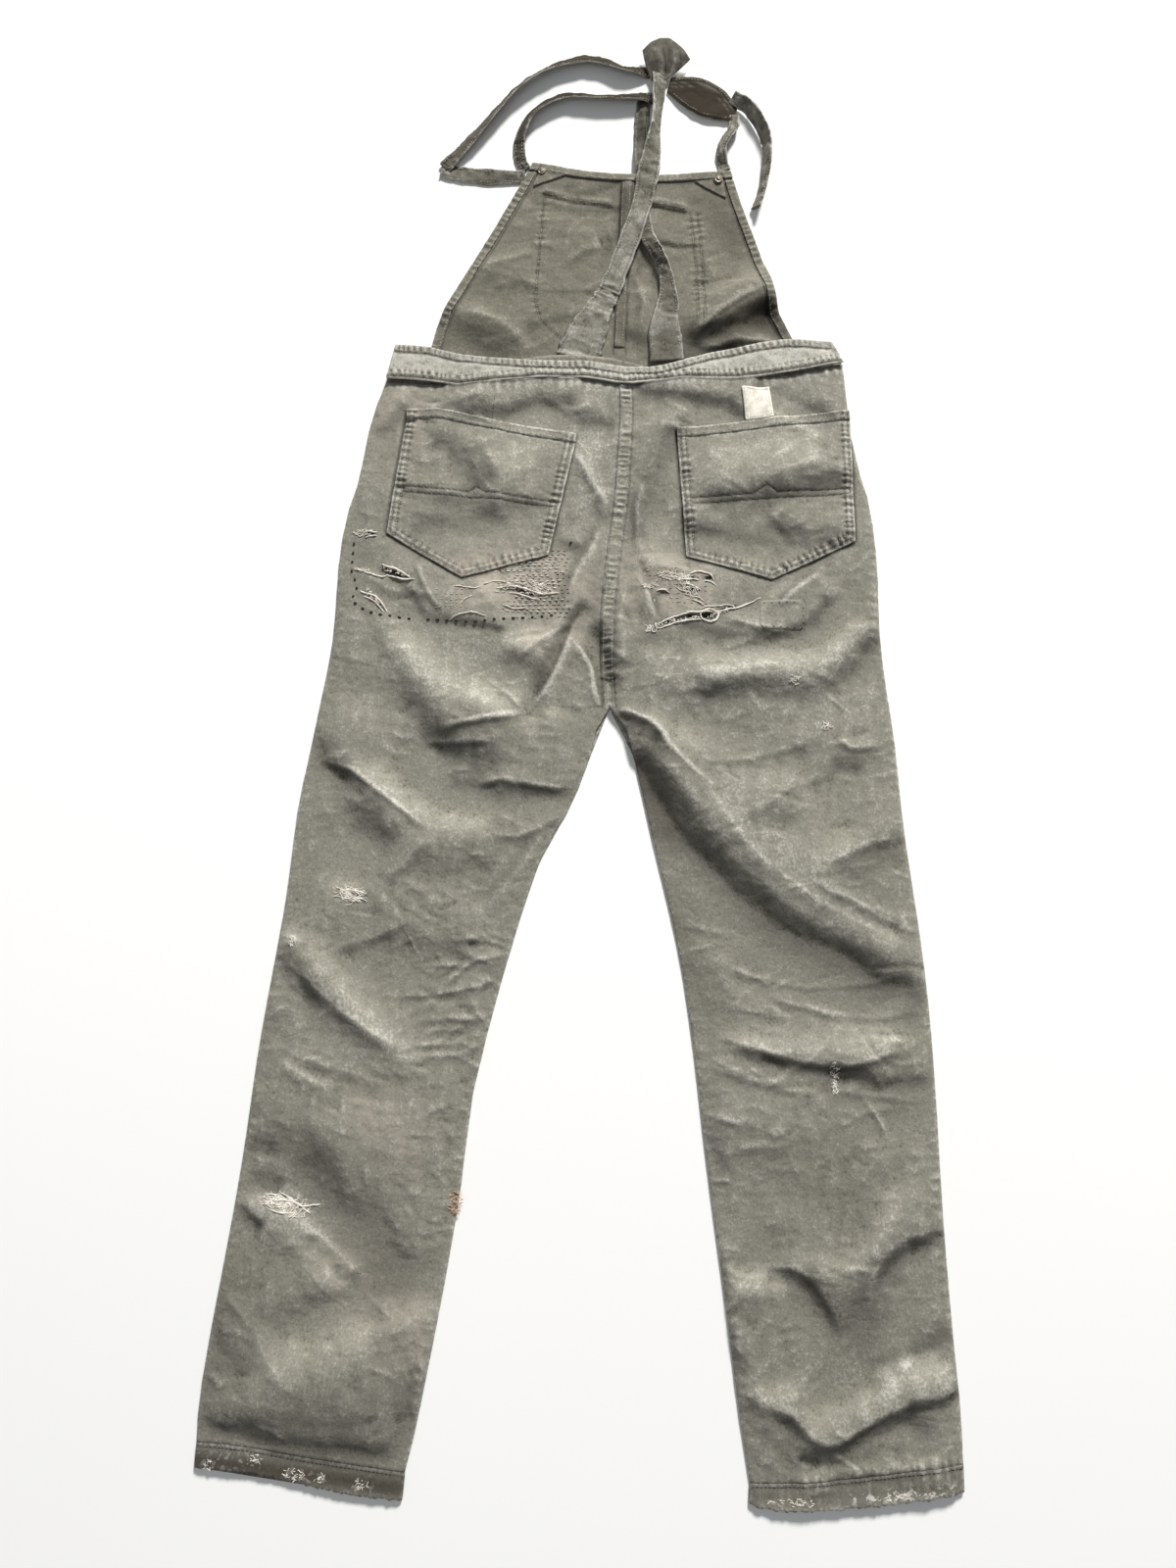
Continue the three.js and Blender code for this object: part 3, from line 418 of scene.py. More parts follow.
# ---------------------------------------------------------------- folds
# (height, reach on the left of the line, reach on its right, points). Light comes from the strap
# end, so a fold with a short reach on its lower side throws the dark edge.
BODY_CREASES = [
    # left leg
    (7, 26, 5, [(-269, -55), (-249, -61), (-228, -68), (-201, -89), (-172, -111), (-150, -130)]),
    (-4, 14, 14, [(-258, -67), (-235, -78), (-210, -100), (-188, -122)]),
    (5, 7, 4, [(-145, -30), (-120, -23), (-96, -19), (-72, -15), (-54, -9)]),
    (2, 5, 5, [(-130, -13), (-114, -19)]),
    (4, 14, 5, [(-161, -39), (-124, -41), (-78, -40)]),
    (6, 14, 7, [(-110, -82), (-76, -77), (-51, -82), (-7, -88)]),
    (3, 8, 6, [(-97, -135), (-63, -135), (-35, -122), (-13, -110)]),
    (4, 18, 12, [(-32, -122), (-50, -154), (-72, -184), (-96, -209)]),
    (-3, 26, 26, [(-147, -138), (-112, -160), (-78, -172)]),
    (3, 10, 10, [(-195, -178), (-171, -160), (-151, -135)]),
    (-1.5, 3, 3, [(-188, -116), (-176, -141)]),
    (4, 8, 24, [(-213, -184), (-185, -200), (-173, -221), (-200, -233), (-230, -242), (-260, -252)]),
    (7, 28, 11, [(-279, -252), (-256, -282), (-222, -311), (-185, -332), (-157, -347)]),
    (3, 8, 4, [(-135, -282), (-108, -259), (-68, -249)]),
    (3, 8, 4, [(-183, -291), (-137, -289), (-110, -283), (-86, -279)]),
    (2.5, 7, 5, [(-161, -314), (-119, -311), (-89, -313)]),
    (2, 6, 5, [(-158, -325), (-128, -322), (-91, -323)]),
    (2, 6, 5, [(-164, -338), (-118, -335), (-94, -338)]),
    (2, 6, 5, [(-151, -348), (-100, -345)]),
    (4, 20, 10, [(-299, -335), (-263, -350), (-220, -362), (-178, -379)]),
    (3, 12, 8, [(-290, -350), (-262, -367), (-232, -379)]),
    (-3, 10, 10, [(-255, -394), (-225, -397)]),
    (2, 6, 5, [(-147, -397), (-126, -395)]),
    (-2, 8, 8, [(-282, -163), (-263, -178)]),
    (-4, 12, 12, [(-317, -426), (-295, -431), (-298, -446)]),
    # right leg
    (9, 42, 13, [(47, -15), (79, -31), (104, -59), (128, -88), (149, -122), (174, -154), (204, -178),
                 (234, -200), (264, -215), (294, -230), (327, -249)]),
    (-5, 26, 26, [(60, -47), (91, -91), (127, -135), (161, -178), (203, -215), (242, -242), (281, -258)]),
    (8, 7, 4, [(33, -5), (52, -12), (68, -20), (82, -33), (86, -44), (76, -50)]),
    (-4, 8, 8, [(55, -31), (79, -45)]),
    (2, 4, 4, [(82, -40), (113, -69), (141, -94)]),
    (3, 14, 8, [(113, -59), (163, -58), (207, -47), (239, -34)]),
    (3, 16, 8, [(162, -110), (181, -104), (206, -88), (257, -66)]),
    (4, 10, 6, [(255, -34), (270, -47), (305, -43)]),
    (4, 16, 8, [(238, -163), (257, -154), (285, -141), (317, -135)]),
    (5, 14, 8, [(234, -184), (265, -197), (295, -215), (332, -232)]),
    (3, 8, 6, [(92, -223), (120, -224), (147, -233)]),
    (3, 12, 6, [(135, -258), (171, -273), (219, -282), (317, -276)]),
    (5, 14, 7, [(171, -282), (201, -297), (246, -308), (288, -311), (334, -303)]),
    (6, 16, 7, [(118, -328), (145, -332), (181, -344), (217, -353), (250, -357), (290, -347), (333, -332)]),
    (3, 10, 6, [(121, -356), (157, -367), (199, -379), (228, -382)]),
    (3, 10, 6, [(246, -379), (288, -385), (333, -391)]),
    (3, 10, 6, [(120, -400), (156, -411), (197, -423)]),
    (2, 8, 6, [(258, -402), (318, -394)]),
    (2, 8, 6, [(143, -434), (197, -431)]),
    (-4, 6, 6, [(321, -313), (337, -306)]),
    # seat
    (3, 10, 8, [(-169, 314), (-132, 326), (-92, 336)]),
    (3, 8, 8, [(-44, 332), (-7, 314), (16, 324)]),
    (4, 30, 12, [(-109, 289), (-91, 258), (-76, 227)]),
    (-3, 14, 14, [(-124, 277), (-112, 238), (-101, 219)]),
    (-2, 14, 14, [(-115, 185), (-97, 198), (-57, 206)]),
    (3, 8, 6, [(-7, 273), (12, 235), (30, 208)]),
    (5, 12, 8, [(23, 196), (12, 162), (-3, 140), (-17, 99)]),
    (9, 5, 12, [(-54, -9), (-38, 10), (-25, 32), (-15, 56), (-8, 80), (8, 102)]),
    (-5, 9, 9, [(12, 102), (-6, 84), (-17, 62)]),
    (7, 5, 6, [(-9, 66), (3, 50), (11, 36), (15, 9), (21, -10)]),
    (2.5, 5, 7, [(-143, -26), (-101, -18), (-55, -8)]),
    (2, 4, 4, [(-95, 25), (-70, 7), (-59, -8)]),
    (-2.5, 3, 3, [(58, 158), (74, 110), (81, 84)]),
    (-2, 3, 3, [(64, 139), (109, 145), (123, 143)]),
    (3, 8, 5, [(65, 235), (58, 204), (59, 158)]),
    (3, 10, 10, [(44, 121), (40, 84), (47, 36)]),
    (5, 30, 24, [(51, 25), (139, 29), (247, 58)]),
    (-4, 18, 18, [(221, 23), (264, 38), (292, 73)]),
    (-3, 6, 6, [(174, 343), (215, 331), (242, 315)]),
    (-2, 10, 10, [(107, 310), (137, 297)]),
    (3, 9, 9, [(80, 299), (107, 295)]),
    (3, 20, 10, [(172, 235), (213, 246), (260, 262)]),
    (-3, 14, 14, [(135, 189), (178, 185), (218, 168)]),
    (4, 12, 9, [(193, 204), (211, 185), (230, 164)]),
    (2, 8, 8, [(-233, 143), (-197, 121), (-146, 113)]),
    (-2, 10, 10, [(-194, 174), (-161, 143), (-153, 99)]),
    (4, 14, 5, [(-170, 153), (-164, 136), (-157, 119), (-147, 103), (-134, 92)]),
    (3, 4, 12, [(56, 140), (66, 118), (78, 86)]),
    (2.5, 6, 4, [(63, 139), (84, 143), (111, 141)]),
    (4, 12, 5, [(145, 83), (159, 87), (179, 80), (200, 75), (214, 78)]),
    (2.5, 10, 5, [(141, 56), (158, 60), (179, 69)]),
    (4, 9, 5, [(247, 140), (215, 115), (201, 101)]),
    (2, 4, 3, [(246, 9), (269, -9)]),
    (3, 8, 5, [(-66, 43), (-47, 62), (-25, 74), (-9, 87)]),
    # left shin
    (-5, 12, 12, [(-320, -458), (-298, -461), (-279, -470)]),
    (7, 16, 13, [(-322, -471), (-302, -478), (-275, -492), (-245, -512), (-215, -540), (-188, -558)]),
    (-4, 14, 14, [(-222, -494), (-197, -515), (-179, -538), (-164, -554)]),
    (-4, 9, 9, [(-327, -489), (-311, -499), (-295, -508)]),
    (-3, 16, 30, [(-271, -593), (-259, -590), (-233, -579), (-212, -565)]),
    (4, 22, 11, [(-305, -581), (-294, -612), (-269, -644), (-250, -650)]),
    (-4, 14, 14, [(-320, -670), (-289, -681), (-269, -694), (-229, -699), (-187, -701)]),
    (3, 30, 16, [(-349, -652), (-301, -657), (-230, -668), (-171, -661)]),
    (-3, 8, 8, [(-160, -635), (-146, -630)]),
    (-3, 9, 9, [(-171, -677), (-152, -672)]),
    (2, 8, 6, [(-336, -563), (-314, -581), (-304, -597)]),
    (2, 8, 6, [(-345, -633), (-328, -647)]),
    # right shin
    (3, 5, 4, [(124, -463), (143, -463)]),
    (4, 22, 7, [(174, -538), (200, -540), (219, -551), (233, -574), (246, -603)]),
    (6, 25, 12, [(266, -565), (274, -545), (285, -526), (305, -512), (340, -505)]),
    (-4, 9, 9, [(301, -617), (313, -606), (345, -604)]),
    (5, 10, 30, [(264, -636), (296, -626), (324, -618), (347, -613)]),
    (6, 30, 9, [(148, -657), (176, -661), (197, -668), (208, -683), (225, -692), (244, -686),
                 (268, -670), (294, -659), (316, -657), (349, -650)]),
    (-3, 13, 13, [(154, -668), (190, -679), (217, -701), (245, -699), (279, -688), (308, -668), (346, -658)]),
    (2, 3, 3, [(232, -681), (246, -690)]),
    (3, 4, 6, [(231, -701), (247, -712), (262, -723)]),
    (-4, 7, 7, [(198, -707), (221, -716)]),
    (-2, 9, 9, [(255, -707), (278, -712), (302, -707)]),
    (-3, 10, 10, [(138, -576), (149, -585), (166, -598)]),
    (3, 12, 8, [(134, -541), (150, -548), (179, -551)]),
]
BIB_CREASES = [
    (2, 10, 8, [(-110, 480), (-77, 491), (-49, 502)]),
    (2, 10, 8, [(-97, 456), (-64, 466), (-41, 457)]),
    (3, 12, 9, [(-124, 430), (-84, 416), (-58, 394)]),
    (6, 25, 6, [(116, 397), (144, 424), (172, 444), (202, 457)]),
    (5, 8, 7, [(122, 385), (169, 397), (217, 394)]),
    (-3, 8, 8, [(126, 394), (159, 411), (202, 424)]),
    (-1.5, 2, 2, [(83, 507), (105, 504), (126, 507)]),
    (2, 9, 7, [(58, 477), (68, 438), (63, 408)]),
    (2, 10, 8, [(-18, 485), (2, 502), (23, 507)]),
    (1.5, 8, 8, [(-18, 424), (5, 433), (17, 427)]),
    (-2, 10, 10, [(18, 510), (33, 516)]),
    (2, 12, 12, [(135, 493), (145, 463)]),
    (-2, 12, 12, [(-65, 564), (2, 566)]),
]

# Broad slopes of the cloth, as bands: (tilt, reach, line). A positive tilt faces the strap end and
# catches the light, a negative one faces the hems. The tilt is also painted into the colour: painted
# light on the bands that face the strap end, painted shade on those that face the hems.
BODY_SLOPES = [
    # left leg dark
    (-0.75, 15, [(-258, -47), (-233, -77), (-213, -102), (-190, -128)]),
    (-0.5, 14, [(-143, -32), (-118, -47), (-93, -57)]),
    (-0.6, 9, [(-123, -82), (-93, -90), (-53, -90), (-13, -92)]),
    (-0.4, 18, [(-150, -156), (-123, -162), (-98, -162)]),
    (-0.5, 14, [(-283, -252), (-263, -272), (-258, -287)]),
    (-0.35, 12, [(-193, -237), (-153, -247), (-113, -242)]),
    (-0.6, 10, [(-313, -432), (-293, -432)]),
    (-0.9, 9, [(-308, -462), (-288, -467)]),
    (-0.8, 9, [(-318, -492), (-303, -500)]),
    (-0.65, 24, [(-248, -442), (-233, -472), (-208, -502), (-188, -527), (-173, -552)]),
    (-0.9, 11, [(-338, -677), (-303, -682), (-278, -697), (-233, -702), (-183, -702)]),
    (-0.7, 12, [(-153, -642), (-158, -672), (-158, -682)]),
    (-0.4, 12, [(-333, -602), (-313, -627)]),
    (-0.4, 12, [(-293, -582), (-243, -572)]),
    (-0.4, 20, [(-248, -652), (-193, -662)]),
    (-0.5, 14, [(-203, 68), (-183, 38), (-158, -2), (-143, -32)]),
    # left leg light
    (0.7, 18, [(-183, 68), (-153, 38), (-123, 18), (-83, 3)]),
    (0.9, 16, [(-208, -72), (-173, -102), (-143, -117), (-103, -117)]),
    (0.6, 13, [(-288, -227), (-253, -252), (-228, -282), (-198, -317), (-163, -344)]),
    (0.7, 13, [(-308, -482), (-278, -497), (-253, -522), (-228, -547)]),
    (0.6, 22, [(-203, -587), (-153, -577)]),
    (0.5, 16, [(-283, -622), (-243, -612), (-203, -602)]),
    (0.5, 14, [(-238, -182), (-228, -186)]),
    (0.5, 12, [(-103, 8), (-53, -22), (-23, -7)]),
    (0.5, 6, [(-283, -352), (-243, -377)]),
    (0.4, 18, [(-223, -7), (-193, -22)]),
    # right leg dark
    (-1.35, 23, [(60, -62), (82, -97), (102, -127), (127, -152), (157, -182), (192, -222),
        (222, -237), (267, -257), (292, -277), (307, -282)]),
    (-0.6, 22, [(307, -147), (267, -172), (297, -192)]),
    (-0.9, 9, [(247, -357), (287, -372), (327, -372)]),
    (-0.6, 7, [(157, -344), (207, -352), (247, -357)]),
    (-0.6, 9, [(325, -295), (317, -309)]),
    (-0.5, 10, [(337, -512), (307, -522), (287, -537)]),
    (-0.4, 12, [(187, -542), (212, -552), (232, -582), (247, -602), (262, -612)]),
    (-0.4, 18, [(277, -542), (272, -582), (267, -622)]),
    (-0.5, 7, [(157, -657), (182, -667), (202, -682)]),
    (-0.5, 10, [(207, -702), (232, -704), (257, -682), (297, -672), (317, -682)]),
    (-0.9, 7, [(307, -657), (332, -657), (347, -650)]),
    (-0.8, 9, [(342, -602), (317, -612)]),
    (-0.45, 9, [(172, -117), (207, -117)]),
    (-0.6, 8, [(257, -62), (277, -64)]),
    (-0.4, 10, [(137, -452), (132, -432)]),
    (-0.6, 12, [(132, -602), (142, -622)]),
    (-0.4, 6, [(237, -722), (307, -722)]),
    # right leg light
    (0.9, 14, [(87, -52), (127, -102), (167, -162), (207, -192), (247, -217), (297, -237)]),
    (0.5, 14, [(77, -22), (117, -42)]),
    (0.3, 18, [(237, -102), (207, -82), (157, -72)]),
    (0.4, 14, [(267, -137), (242, -152)]),
    (0.7, 15, [(157, -332), (207, -332), (257, -337), (307, -322)]),
    (0.5, 9, [(157, -287), (207, -307), (267, -317), (317, -297)]),
    (0.6, 12, [(297, -472), (277, -512), (247, -537), (197, -534), (152, -552)]),
    (0.7, 9, [(147, -552), (187, -557)]),
    (0.6, 10, [(172, -652), (192, -647)]),
    (0.7, 13, [(217, -672), (257, -657), (297, -632), (337, -627)]),
    (0.5, 6, [(207, -722), (267, -712), (327, -707)]),
    (0.3, 16, [(317, -427), (277, -432)]),
    # seat dark
    (-0.7, 11, [(-143, 283), (-118, 253), (-106, 236)]),
    (-0.5, 9, [(-183, 230), (-153, 218), (-113, 213), (-73, 210), (-43, 213)]),
    (-0.6, 11, [(-163, 193), (-113, 190), (-90, 198)]),
    (-0.8, 9, [(-123, 313), (-83, 313), (-53, 323), (-13, 328)]),
    (-0.8, 10, [(7, 303), (27, 300)]),
    (-0.9, 8, [(67, 338), (107, 330), (157, 323), (167, 313)]),
    (-0.7, 13, [(102, 303), (87, 273), (77, 248), (67, 218), (62, 183)]),
    (-0.8, 13, [(137, 218), (187, 220), (227, 228), (267, 238)]),
    (-0.8, 11, [(117, 183), (157, 176), (207, 168)]),
    (-0.6, 9, [(207, 193), (237, 173), (267, 173)]),
    (-1.1, 10, [(17, 78), (27, 58), (32, 28)]),
    (-0.9, 8, [(-3, 98), (-18, 78), (-33, 48), (-43, 18)]),
    (-0.6, 14, [(-68, 48), (-48, 38)]),
    (-0.8, 8, [(107, 81), (137, 73), (177, 68), (212, 73), (237, 83), (252, 108)]),
    (-0.7, 15, [(127, 13), (167, 18), (227, 13), (267, 33), (297, 68)]),
    (-0.7, 5, [(-198, 138), (-173, 118), (-158, 88), (-113, 86), (-83, 78)]),
    (-0.6, 7, [(17, 213), (22, 198)]),
    (-0.6, 6, [(-18, 168), (-3, 166)]),
    (-0.8, 8, [(242, 318), (262, 308)]),
    (-0.6, 8, [(-208, 290), (-188, 318)]),
    (-0.4, 8, [(67, 68), (87, 68), (107, 58)]),
    (-0.3, 12, [(-223, 168), (-228, 148)]),
    # seat light
    (0.4, 25, [(-68, 258), (-53, 288)]),
    (0.3, 22, [(-123, 168), (-93, 158), (-23, 153)]),
    (0.3, 16, [(-93, 118), (-53, 68)]),
    (0.5, 14, [(77, 188), (67, 163), (92, 148)]),
    (0.5, 22, [(157, 268), (237, 268)]),
    (0.8, 14, [(137, 38), (207, 43), (247, 48), (277, 78)]),
    (0.3, 20, [(117, 148), (207, 153)]),
    (0.3, 7, [(172, 83), (197, 118), (227, 128)]),
    (0.4, 16, [(7, 268), (17, 288)]),
    (0.3, 10, [(77, 308), (117, 308)]),
    (0.6, 8, [(207, 313), (247, 293)]),
    (0.5, 10, [(-73, 68), (-33, 68)]),
]
# The bib's slope bands, painted into its colour as light and shade like the body's.
BIB_SLOPES = [
    (-1.3, 13, [(119, 396), (147, 407), (175, 422), (199, 437)]),
    (-1.2, 12, [(199, 430), (209, 407)]),
    (-1.2, 8, [(77, 373), (94, 381), (111, 377), (160, 387)]),
    (-0.7, 14, [(-142, 422), (-114, 403), (-83, 381)]),
    (-0.4, 6, [(-101, 466), (-63, 466)]),
    (-0.7, 4, [(-46, 560), (-14, 550), (39, 549)]),
    (-0.5, 4, [(-7, 564), (43, 580)]),
    (-0.7, 7, [(50, 568), (43, 529), (29, 506)]),
    (-1.0, 8, [(67, 514), (67, 491)]),
    (-0.8, 2.5, [(85, 510), (102, 506), (124, 506)]),
    (-0.6, 4, [(78, 552), (96, 546), (110, 545)]),
    (-0.3, 6, [(-28, 521), (7, 514)]),
    (-0.5, 3, [(-38, 452), (14, 452)]),
    (-0.5, 5, [(-52, 415), (-20, 422)]),
    (-0.9, 9, [(53, 403), (66, 396)]),
    (-0.3, 12, [(149, 533), (163, 529)]),
    (-0.6, 4, [(78, 483), (81, 460)]),
    (0.3, 9, [(-7, 529), (29, 533)]),
    (0.4, 8, [(-105, 487), (-63, 494)]),
    (0.6, 8, [(-122, 433), (-87, 415), (-55, 392)]),
    (0.6, 14, [(154, 449), (186, 468), (193, 475)]),
    (0.4, 9, [(62, 452), (67, 452)]),
    (0.25, 10, [(109, 483), (116, 483)]),
]

# Short creases at random places:
# (count, (lowest x, highest x, lowest y, highest y), lean in degrees, seed, lengths, heights).
BODY_SMALL_CREASES = [
    (560, (-350, 20, -720, 330), -8, 21, (18, 60), (0.3, 1.0)),
    (560, (30, 350, -740, 330), 6, 22, (18, 60), (0.3, 1.0)),
    (60, (-170, -60, -370, -230), -2, 23, (30, 80), (0.6, 1.3)),
    (60, (110, 340, -420, -240), -4, 24, (30, 90), (0.6, 1.3)),
]
BIB_SMALL_CREASES = [(110, (-150, 210, 380, 590), 12, 44, (18, 60), (0.3, 1.0))]

# Random lumps: (height, size in cells, seed, stretch along x and y).
BODY_LUMPS = [(0.9, 34, 11, (1, 1)), (0.35, 10, 12, (0.7, 1.3)), (0.10, 3.5, 13, (1, 1))]
BIB_LUMPS = [(0.4, 26, 41, (1, 1)), (0.22, 9, 42, (1, 1)), (0.08, 3.5, 43, (1, 1))]

# ---------------------------------------------------------------- outlines, seams and openings
# Real openings: (x, y, half length, half width, turn).
HOLES = [
    (-190, 135.5, 13, 2.6, -16),
    (-212, 109.5, 7, 2.0, -50),
    (-218, 179, 5, 1.6, 0),
    (-58, 116.5, 16, 2.3, -10),
    (-228, -191, 6, 2.2, 0),
    (-215, -194, 4, 1.8, -10),
    (97, 86, 19, 2.2, 14),
    (129, 90, 8, 3.2, 0),
    (150, 98, 9, 1.7, 15),
    (109, 131, 7, 1.8, 5),
    (113, 119, 6, 1.6, -25),
    (131, 131, 4, 1.6, 0),
    (84, 113.5, 5, 1.5, 0),
    (-272, -485, 7, 1.8, -15),
]

# Where an outline is cut into its sides: top left, top right, bottom right, bottom left.
LEG_CORNERS = {
    "left": [(-205, 350), (47, 343), (-161, -721), (-352, -695)],
    "right": [(47, 343), (277, 368), (351, -714), (156, -730)],
}
HEM_CORNERS = {
    "left": [(-352, -695), (-161, -721), (-163, -744), (-353, -716)],
    "right": [(156, -730), (351, -714), (351, -737), (155, -746)],
}
BAND_CORNERS = [(-196, 387), (265, 390), (277, 368), (-205, 350)]
INNER_BAND_CORNERS = [(-62, 372), (68, 363), (68, 352), (-62, 352)]
FRONT_BAND_CORNERS = [(-203, 367), (276, 374), (278, 352), (-207, 344)]
BIB_CORNERS = [(-53, 605), (163, 595), (236, 372), (-166, 367)]
POCKET_CORNERS = {
    "left": [(-182, 305), (-6, 279), (-34, 156), (-200, 179)],
    "right": [(101, 284), (282, 305), (282, 170), (109, 155)],
}
POCKET_HEM_CORNERS = {
    "left": [(-182, 314), (-6, 288), (-6, 279), (-182, 305)],
    "right": [(101, 293), (282, 314), (282, 305), (101, 284)],
}

# Lines that seams follow.
CENTRE_BACK = [(47, 343), (48, 310), (42, 216), (34, 156), (28, 100), (27, 50), (29, -4)]
BAND_EDGE_UPPER = [
    (-196, 387), (-162, 384), (-128, 375), (-78, 371), (-46, 369), (4, 368), (47, 361), (80, 362),
    (113, 371), (137, 378), (177, 386), (218, 392), (265, 390),
]
BAND_EDGE_LOWER = [
    (-205, 350), (-161, 346), (-128, 342), (-94, 346), (-46, 351), (4, 350), (47, 343), (80, 347),
    (112, 350), (166, 350), (200, 353), (241, 361), (277, 368),
]
POCKET_EDGES = {
    "left": [(-182, 312), (-200, 179), (-122, 132), (-34, 156), (-6, 286)],
    "right": [(101, 291), (109, 155), (196, 130), (282, 170), (282, 312)],
}
POCKET_LINES = [
    [(-185, 230), (-150, 227), (-117, 224), (-108, 229), (-98, 222), (-60, 217), (-22, 213)],
    [(-185, 224), (-150, 221), (-108, 217), (-60, 211), (-25, 208)],
    [(109, 210), (150, 212), (200, 216), (240, 219), (278, 222)],
    [(109, 216), (150, 218), (178, 220), (192, 229), (204, 222), (240, 225), (279, 228)],
]
BIB_POCKET_LINES = [
    [(-40, 563), (-45, 500), (-49, 440), (-44, 420), (-22, 398), (12, 392)],
    [(118, 545), (124, 480), (124, 415)],
    [(126, 545), (131, 480), (131, 415)],
]
BIB_POCKET_TOPS = [[(-42, 566), (-10, 558), (34, 551)], [(62, 552), (90, 549), (114, 545)]]
BIB_POCKET_TOP_FOLDS = [[(-42, 572), (-10, 564), (34, 557)], [(62, 560), (90, 557), (116, 552)]]


def short_line(x, y, half_length, turn):
    """A straight line through (x, y), turned by some degrees from +X."""
    dx, dy = half_length * math.cos(math.radians(turn)), half_length * math.sin(math.radians(turn))
    return [(x - dx, y - dy), (x + dx, y + dy)]


# ---------------------------------------------------------------- reliefs of the body and the bib
def small_creases(relief, count, box, lean, seed, lengths, heights):
    """Many short soft creases at random places, leaning near one direction."""
    source = np.random.default_rng(seed)
    for _ in range(count):
        x, y = source.uniform(box[0], box[1]), source.uniform(box[2], box[3])
        angle = math.radians(source.normal(lean, 26))
        size = source.uniform(*lengths) / 2
        bend = source.uniform(-0.25, 0.25) * size
        dx, dy = math.cos(angle) * size, math.sin(angle) * size
        middle = (x - dy / size * bend, y + dx / size * bend)
        width = source.uniform(2.4, 5.2)
        rise = source.uniform(*heights) * source.choice([1, 1, -1])
        points = [(x - dx, y - dy), middle, (x + dx, y + dy)]
        relief.crease(rise, width, width * source.uniform(0.5, 1.0), points, taper=0.45)


def pucker_body(relief):
    """The short folds along the body's seams."""
    for side in SIDES:
        hem = edge_polyline("bottom", f"back_leg_{side}", LEG_CORNERS[side])
        relief.pucker(hem, spacing=8.5, height=0.55, near=-20, far=9, seed=31)
        for edge, sign in (("left", 1), ("right", -1)):
            seam = edge_polyline(edge, f"back_leg_{side}", LEG_CORNERS[side], 120)
            relief.pucker(seam, spacing=11, height=0.35, near=sign * 1, far=sign * 10, seed=33)
    waist = np.vstack([edge_polyline("top", f"back_leg_{side}", LEG_CORNERS[side]) for side in SIDES])
    relief.pucker(waist, spacing=11, height=0.45, near=0, far=-12, seed=34)
    relief.pucker(CENTRE_BACK, spacing=6.5, height=0.9, near=-4.5, far=4.5, seed=35)


def body_seams_and_shadow_lines():
    """Dark lines along the body's seams, with painted shadows just outside the pockets' edges and beside the
    waistband's lower edge, and painted shade round the openings.
    """
    seams = [(0.7, 1.2, inset(resampled(CENTRE_BACK, 80), amount)) for amount in (-6.6, 6.6)]
    # Painted shade round each opening.
    for x, y, half_length, half_width, turn in HOLES:
        seams.append((0.9, half_width + 0.9, short_line(x, y, half_length, turn)))
    for side in SIDES:
        hem_top = edge_polyline("top", f"hem_back_{side}", HEM_CORNERS[side])
        seams += [(0.9, 1.6, inset(hem_top, 0.8)), (0.6, 1.0, inset(hem_top, -2.4))]
        # Painted shadow just outside the pocket's edge.
        seams.append((1.1, 1.9, inset(resampled(POCKET_EDGES[side], 120), -1.4)))
    # Painted shadow just beside the waistband's lower edge.
    seams.append((1.1, 2.0, inset(resampled(BAND_EDGE_LOWER, 120), -1.4)))
    return seams


def body_relief():
    relief = Relief((-366, -760), (366, 400))
    for side in SIDES:
        relief.stamp(facing_up(node_triangles(f"back_leg_{side}")))
    relief.spread()
    relief.z = relief.blurred(7)
    relief.tilt_by(BODY_SLOPES, slope=0.64, drift=55)
    relief.shade_creases(BODY_CREASES, 0.9)
    for height, left, right, points in BODY_CREASES:
        relief.crease(height * FOLD_GAIN, left, right, points)
    relief.roughen(BODY_LUMPS)
    for kind in BODY_SMALL_CREASES:
        small_creases(relief, *kind)
    pucker_body(relief)
    relief.z = soft_floor(relief.z, LEAST_HEIGHT)
    relief.seams = body_seams_and_shadow_lines()
    relief.note_crests()
    return relief


def bib_seams():
    """The dark lines along the bib's turned edges, its middle seam and its pockets."""
    left, right, top = (edge_polyline(edge, "bib", BIB_CORNERS) for edge in ("left", "right", "top"))
    seams = [(0.6, 1.0, line) for line in BIB_POCKET_LINES]
    seams += [(0.8, 1.2, inset(left, 10.6)), (0.8, 1.2, inset(right, -10.6)), (0.9, 1.3, inset(top, -9.5))]
    seams += [(0.9, 1.4, line) for line in BIB_POCKET_TOPS]
    seams += [(0.8, 1.2, [(49.5 + x, 578), (40.5 + x, 380)]) for x in (-6.4, 6.4)]
    return seams


def bib_relief():
    relief = Relief((-180, 355), (250, 612))
    relief.stamp(facing_up(node_triangles("bib")))
    relief.spread()
    relief.z = relief.blurred(5)
    relief.tilt_by(BIB_SLOPES, slope=0.45, drift=40)
    relief.shade_creases(BIB_CREASES, 1.3)
    for height, left, right, points in BIB_CREASES:
        relief.crease(height, left, right, points)
    relief.roughen(BIB_LUMPS)
    for kind in BIB_SMALL_CREASES:
        small_creases(relief, *kind)
    for seed, line in enumerate(BIB_POCKET_LINES):
        relief.crease(-0.7, 1.8, 1.8, line, taper=0.02)
        relief.pucker(line, spacing=7, height=0.7, near=-6, far=6, seed=50 + seed)
    for edge, fold in zip(BIB_POCKET_TOPS, BIB_POCKET_TOP_FOLDS):
        relief.crease(-1.7, 2.0, 2.0, edge, taper=0.05)
        relief.crease(1.4, 3.0, 3.0, fold, taper=0.05)
    for edge, sign in (("left", 1), ("right", -1)):
        seam = edge_polyline(edge, "bib", BIB_CORNERS)
        relief.pucker(seam, spacing=7, height=0.7, near=0, far=sign * 9, seed=61)
    relief.seams = bib_seams()
    relief.note_crests()
    return relief


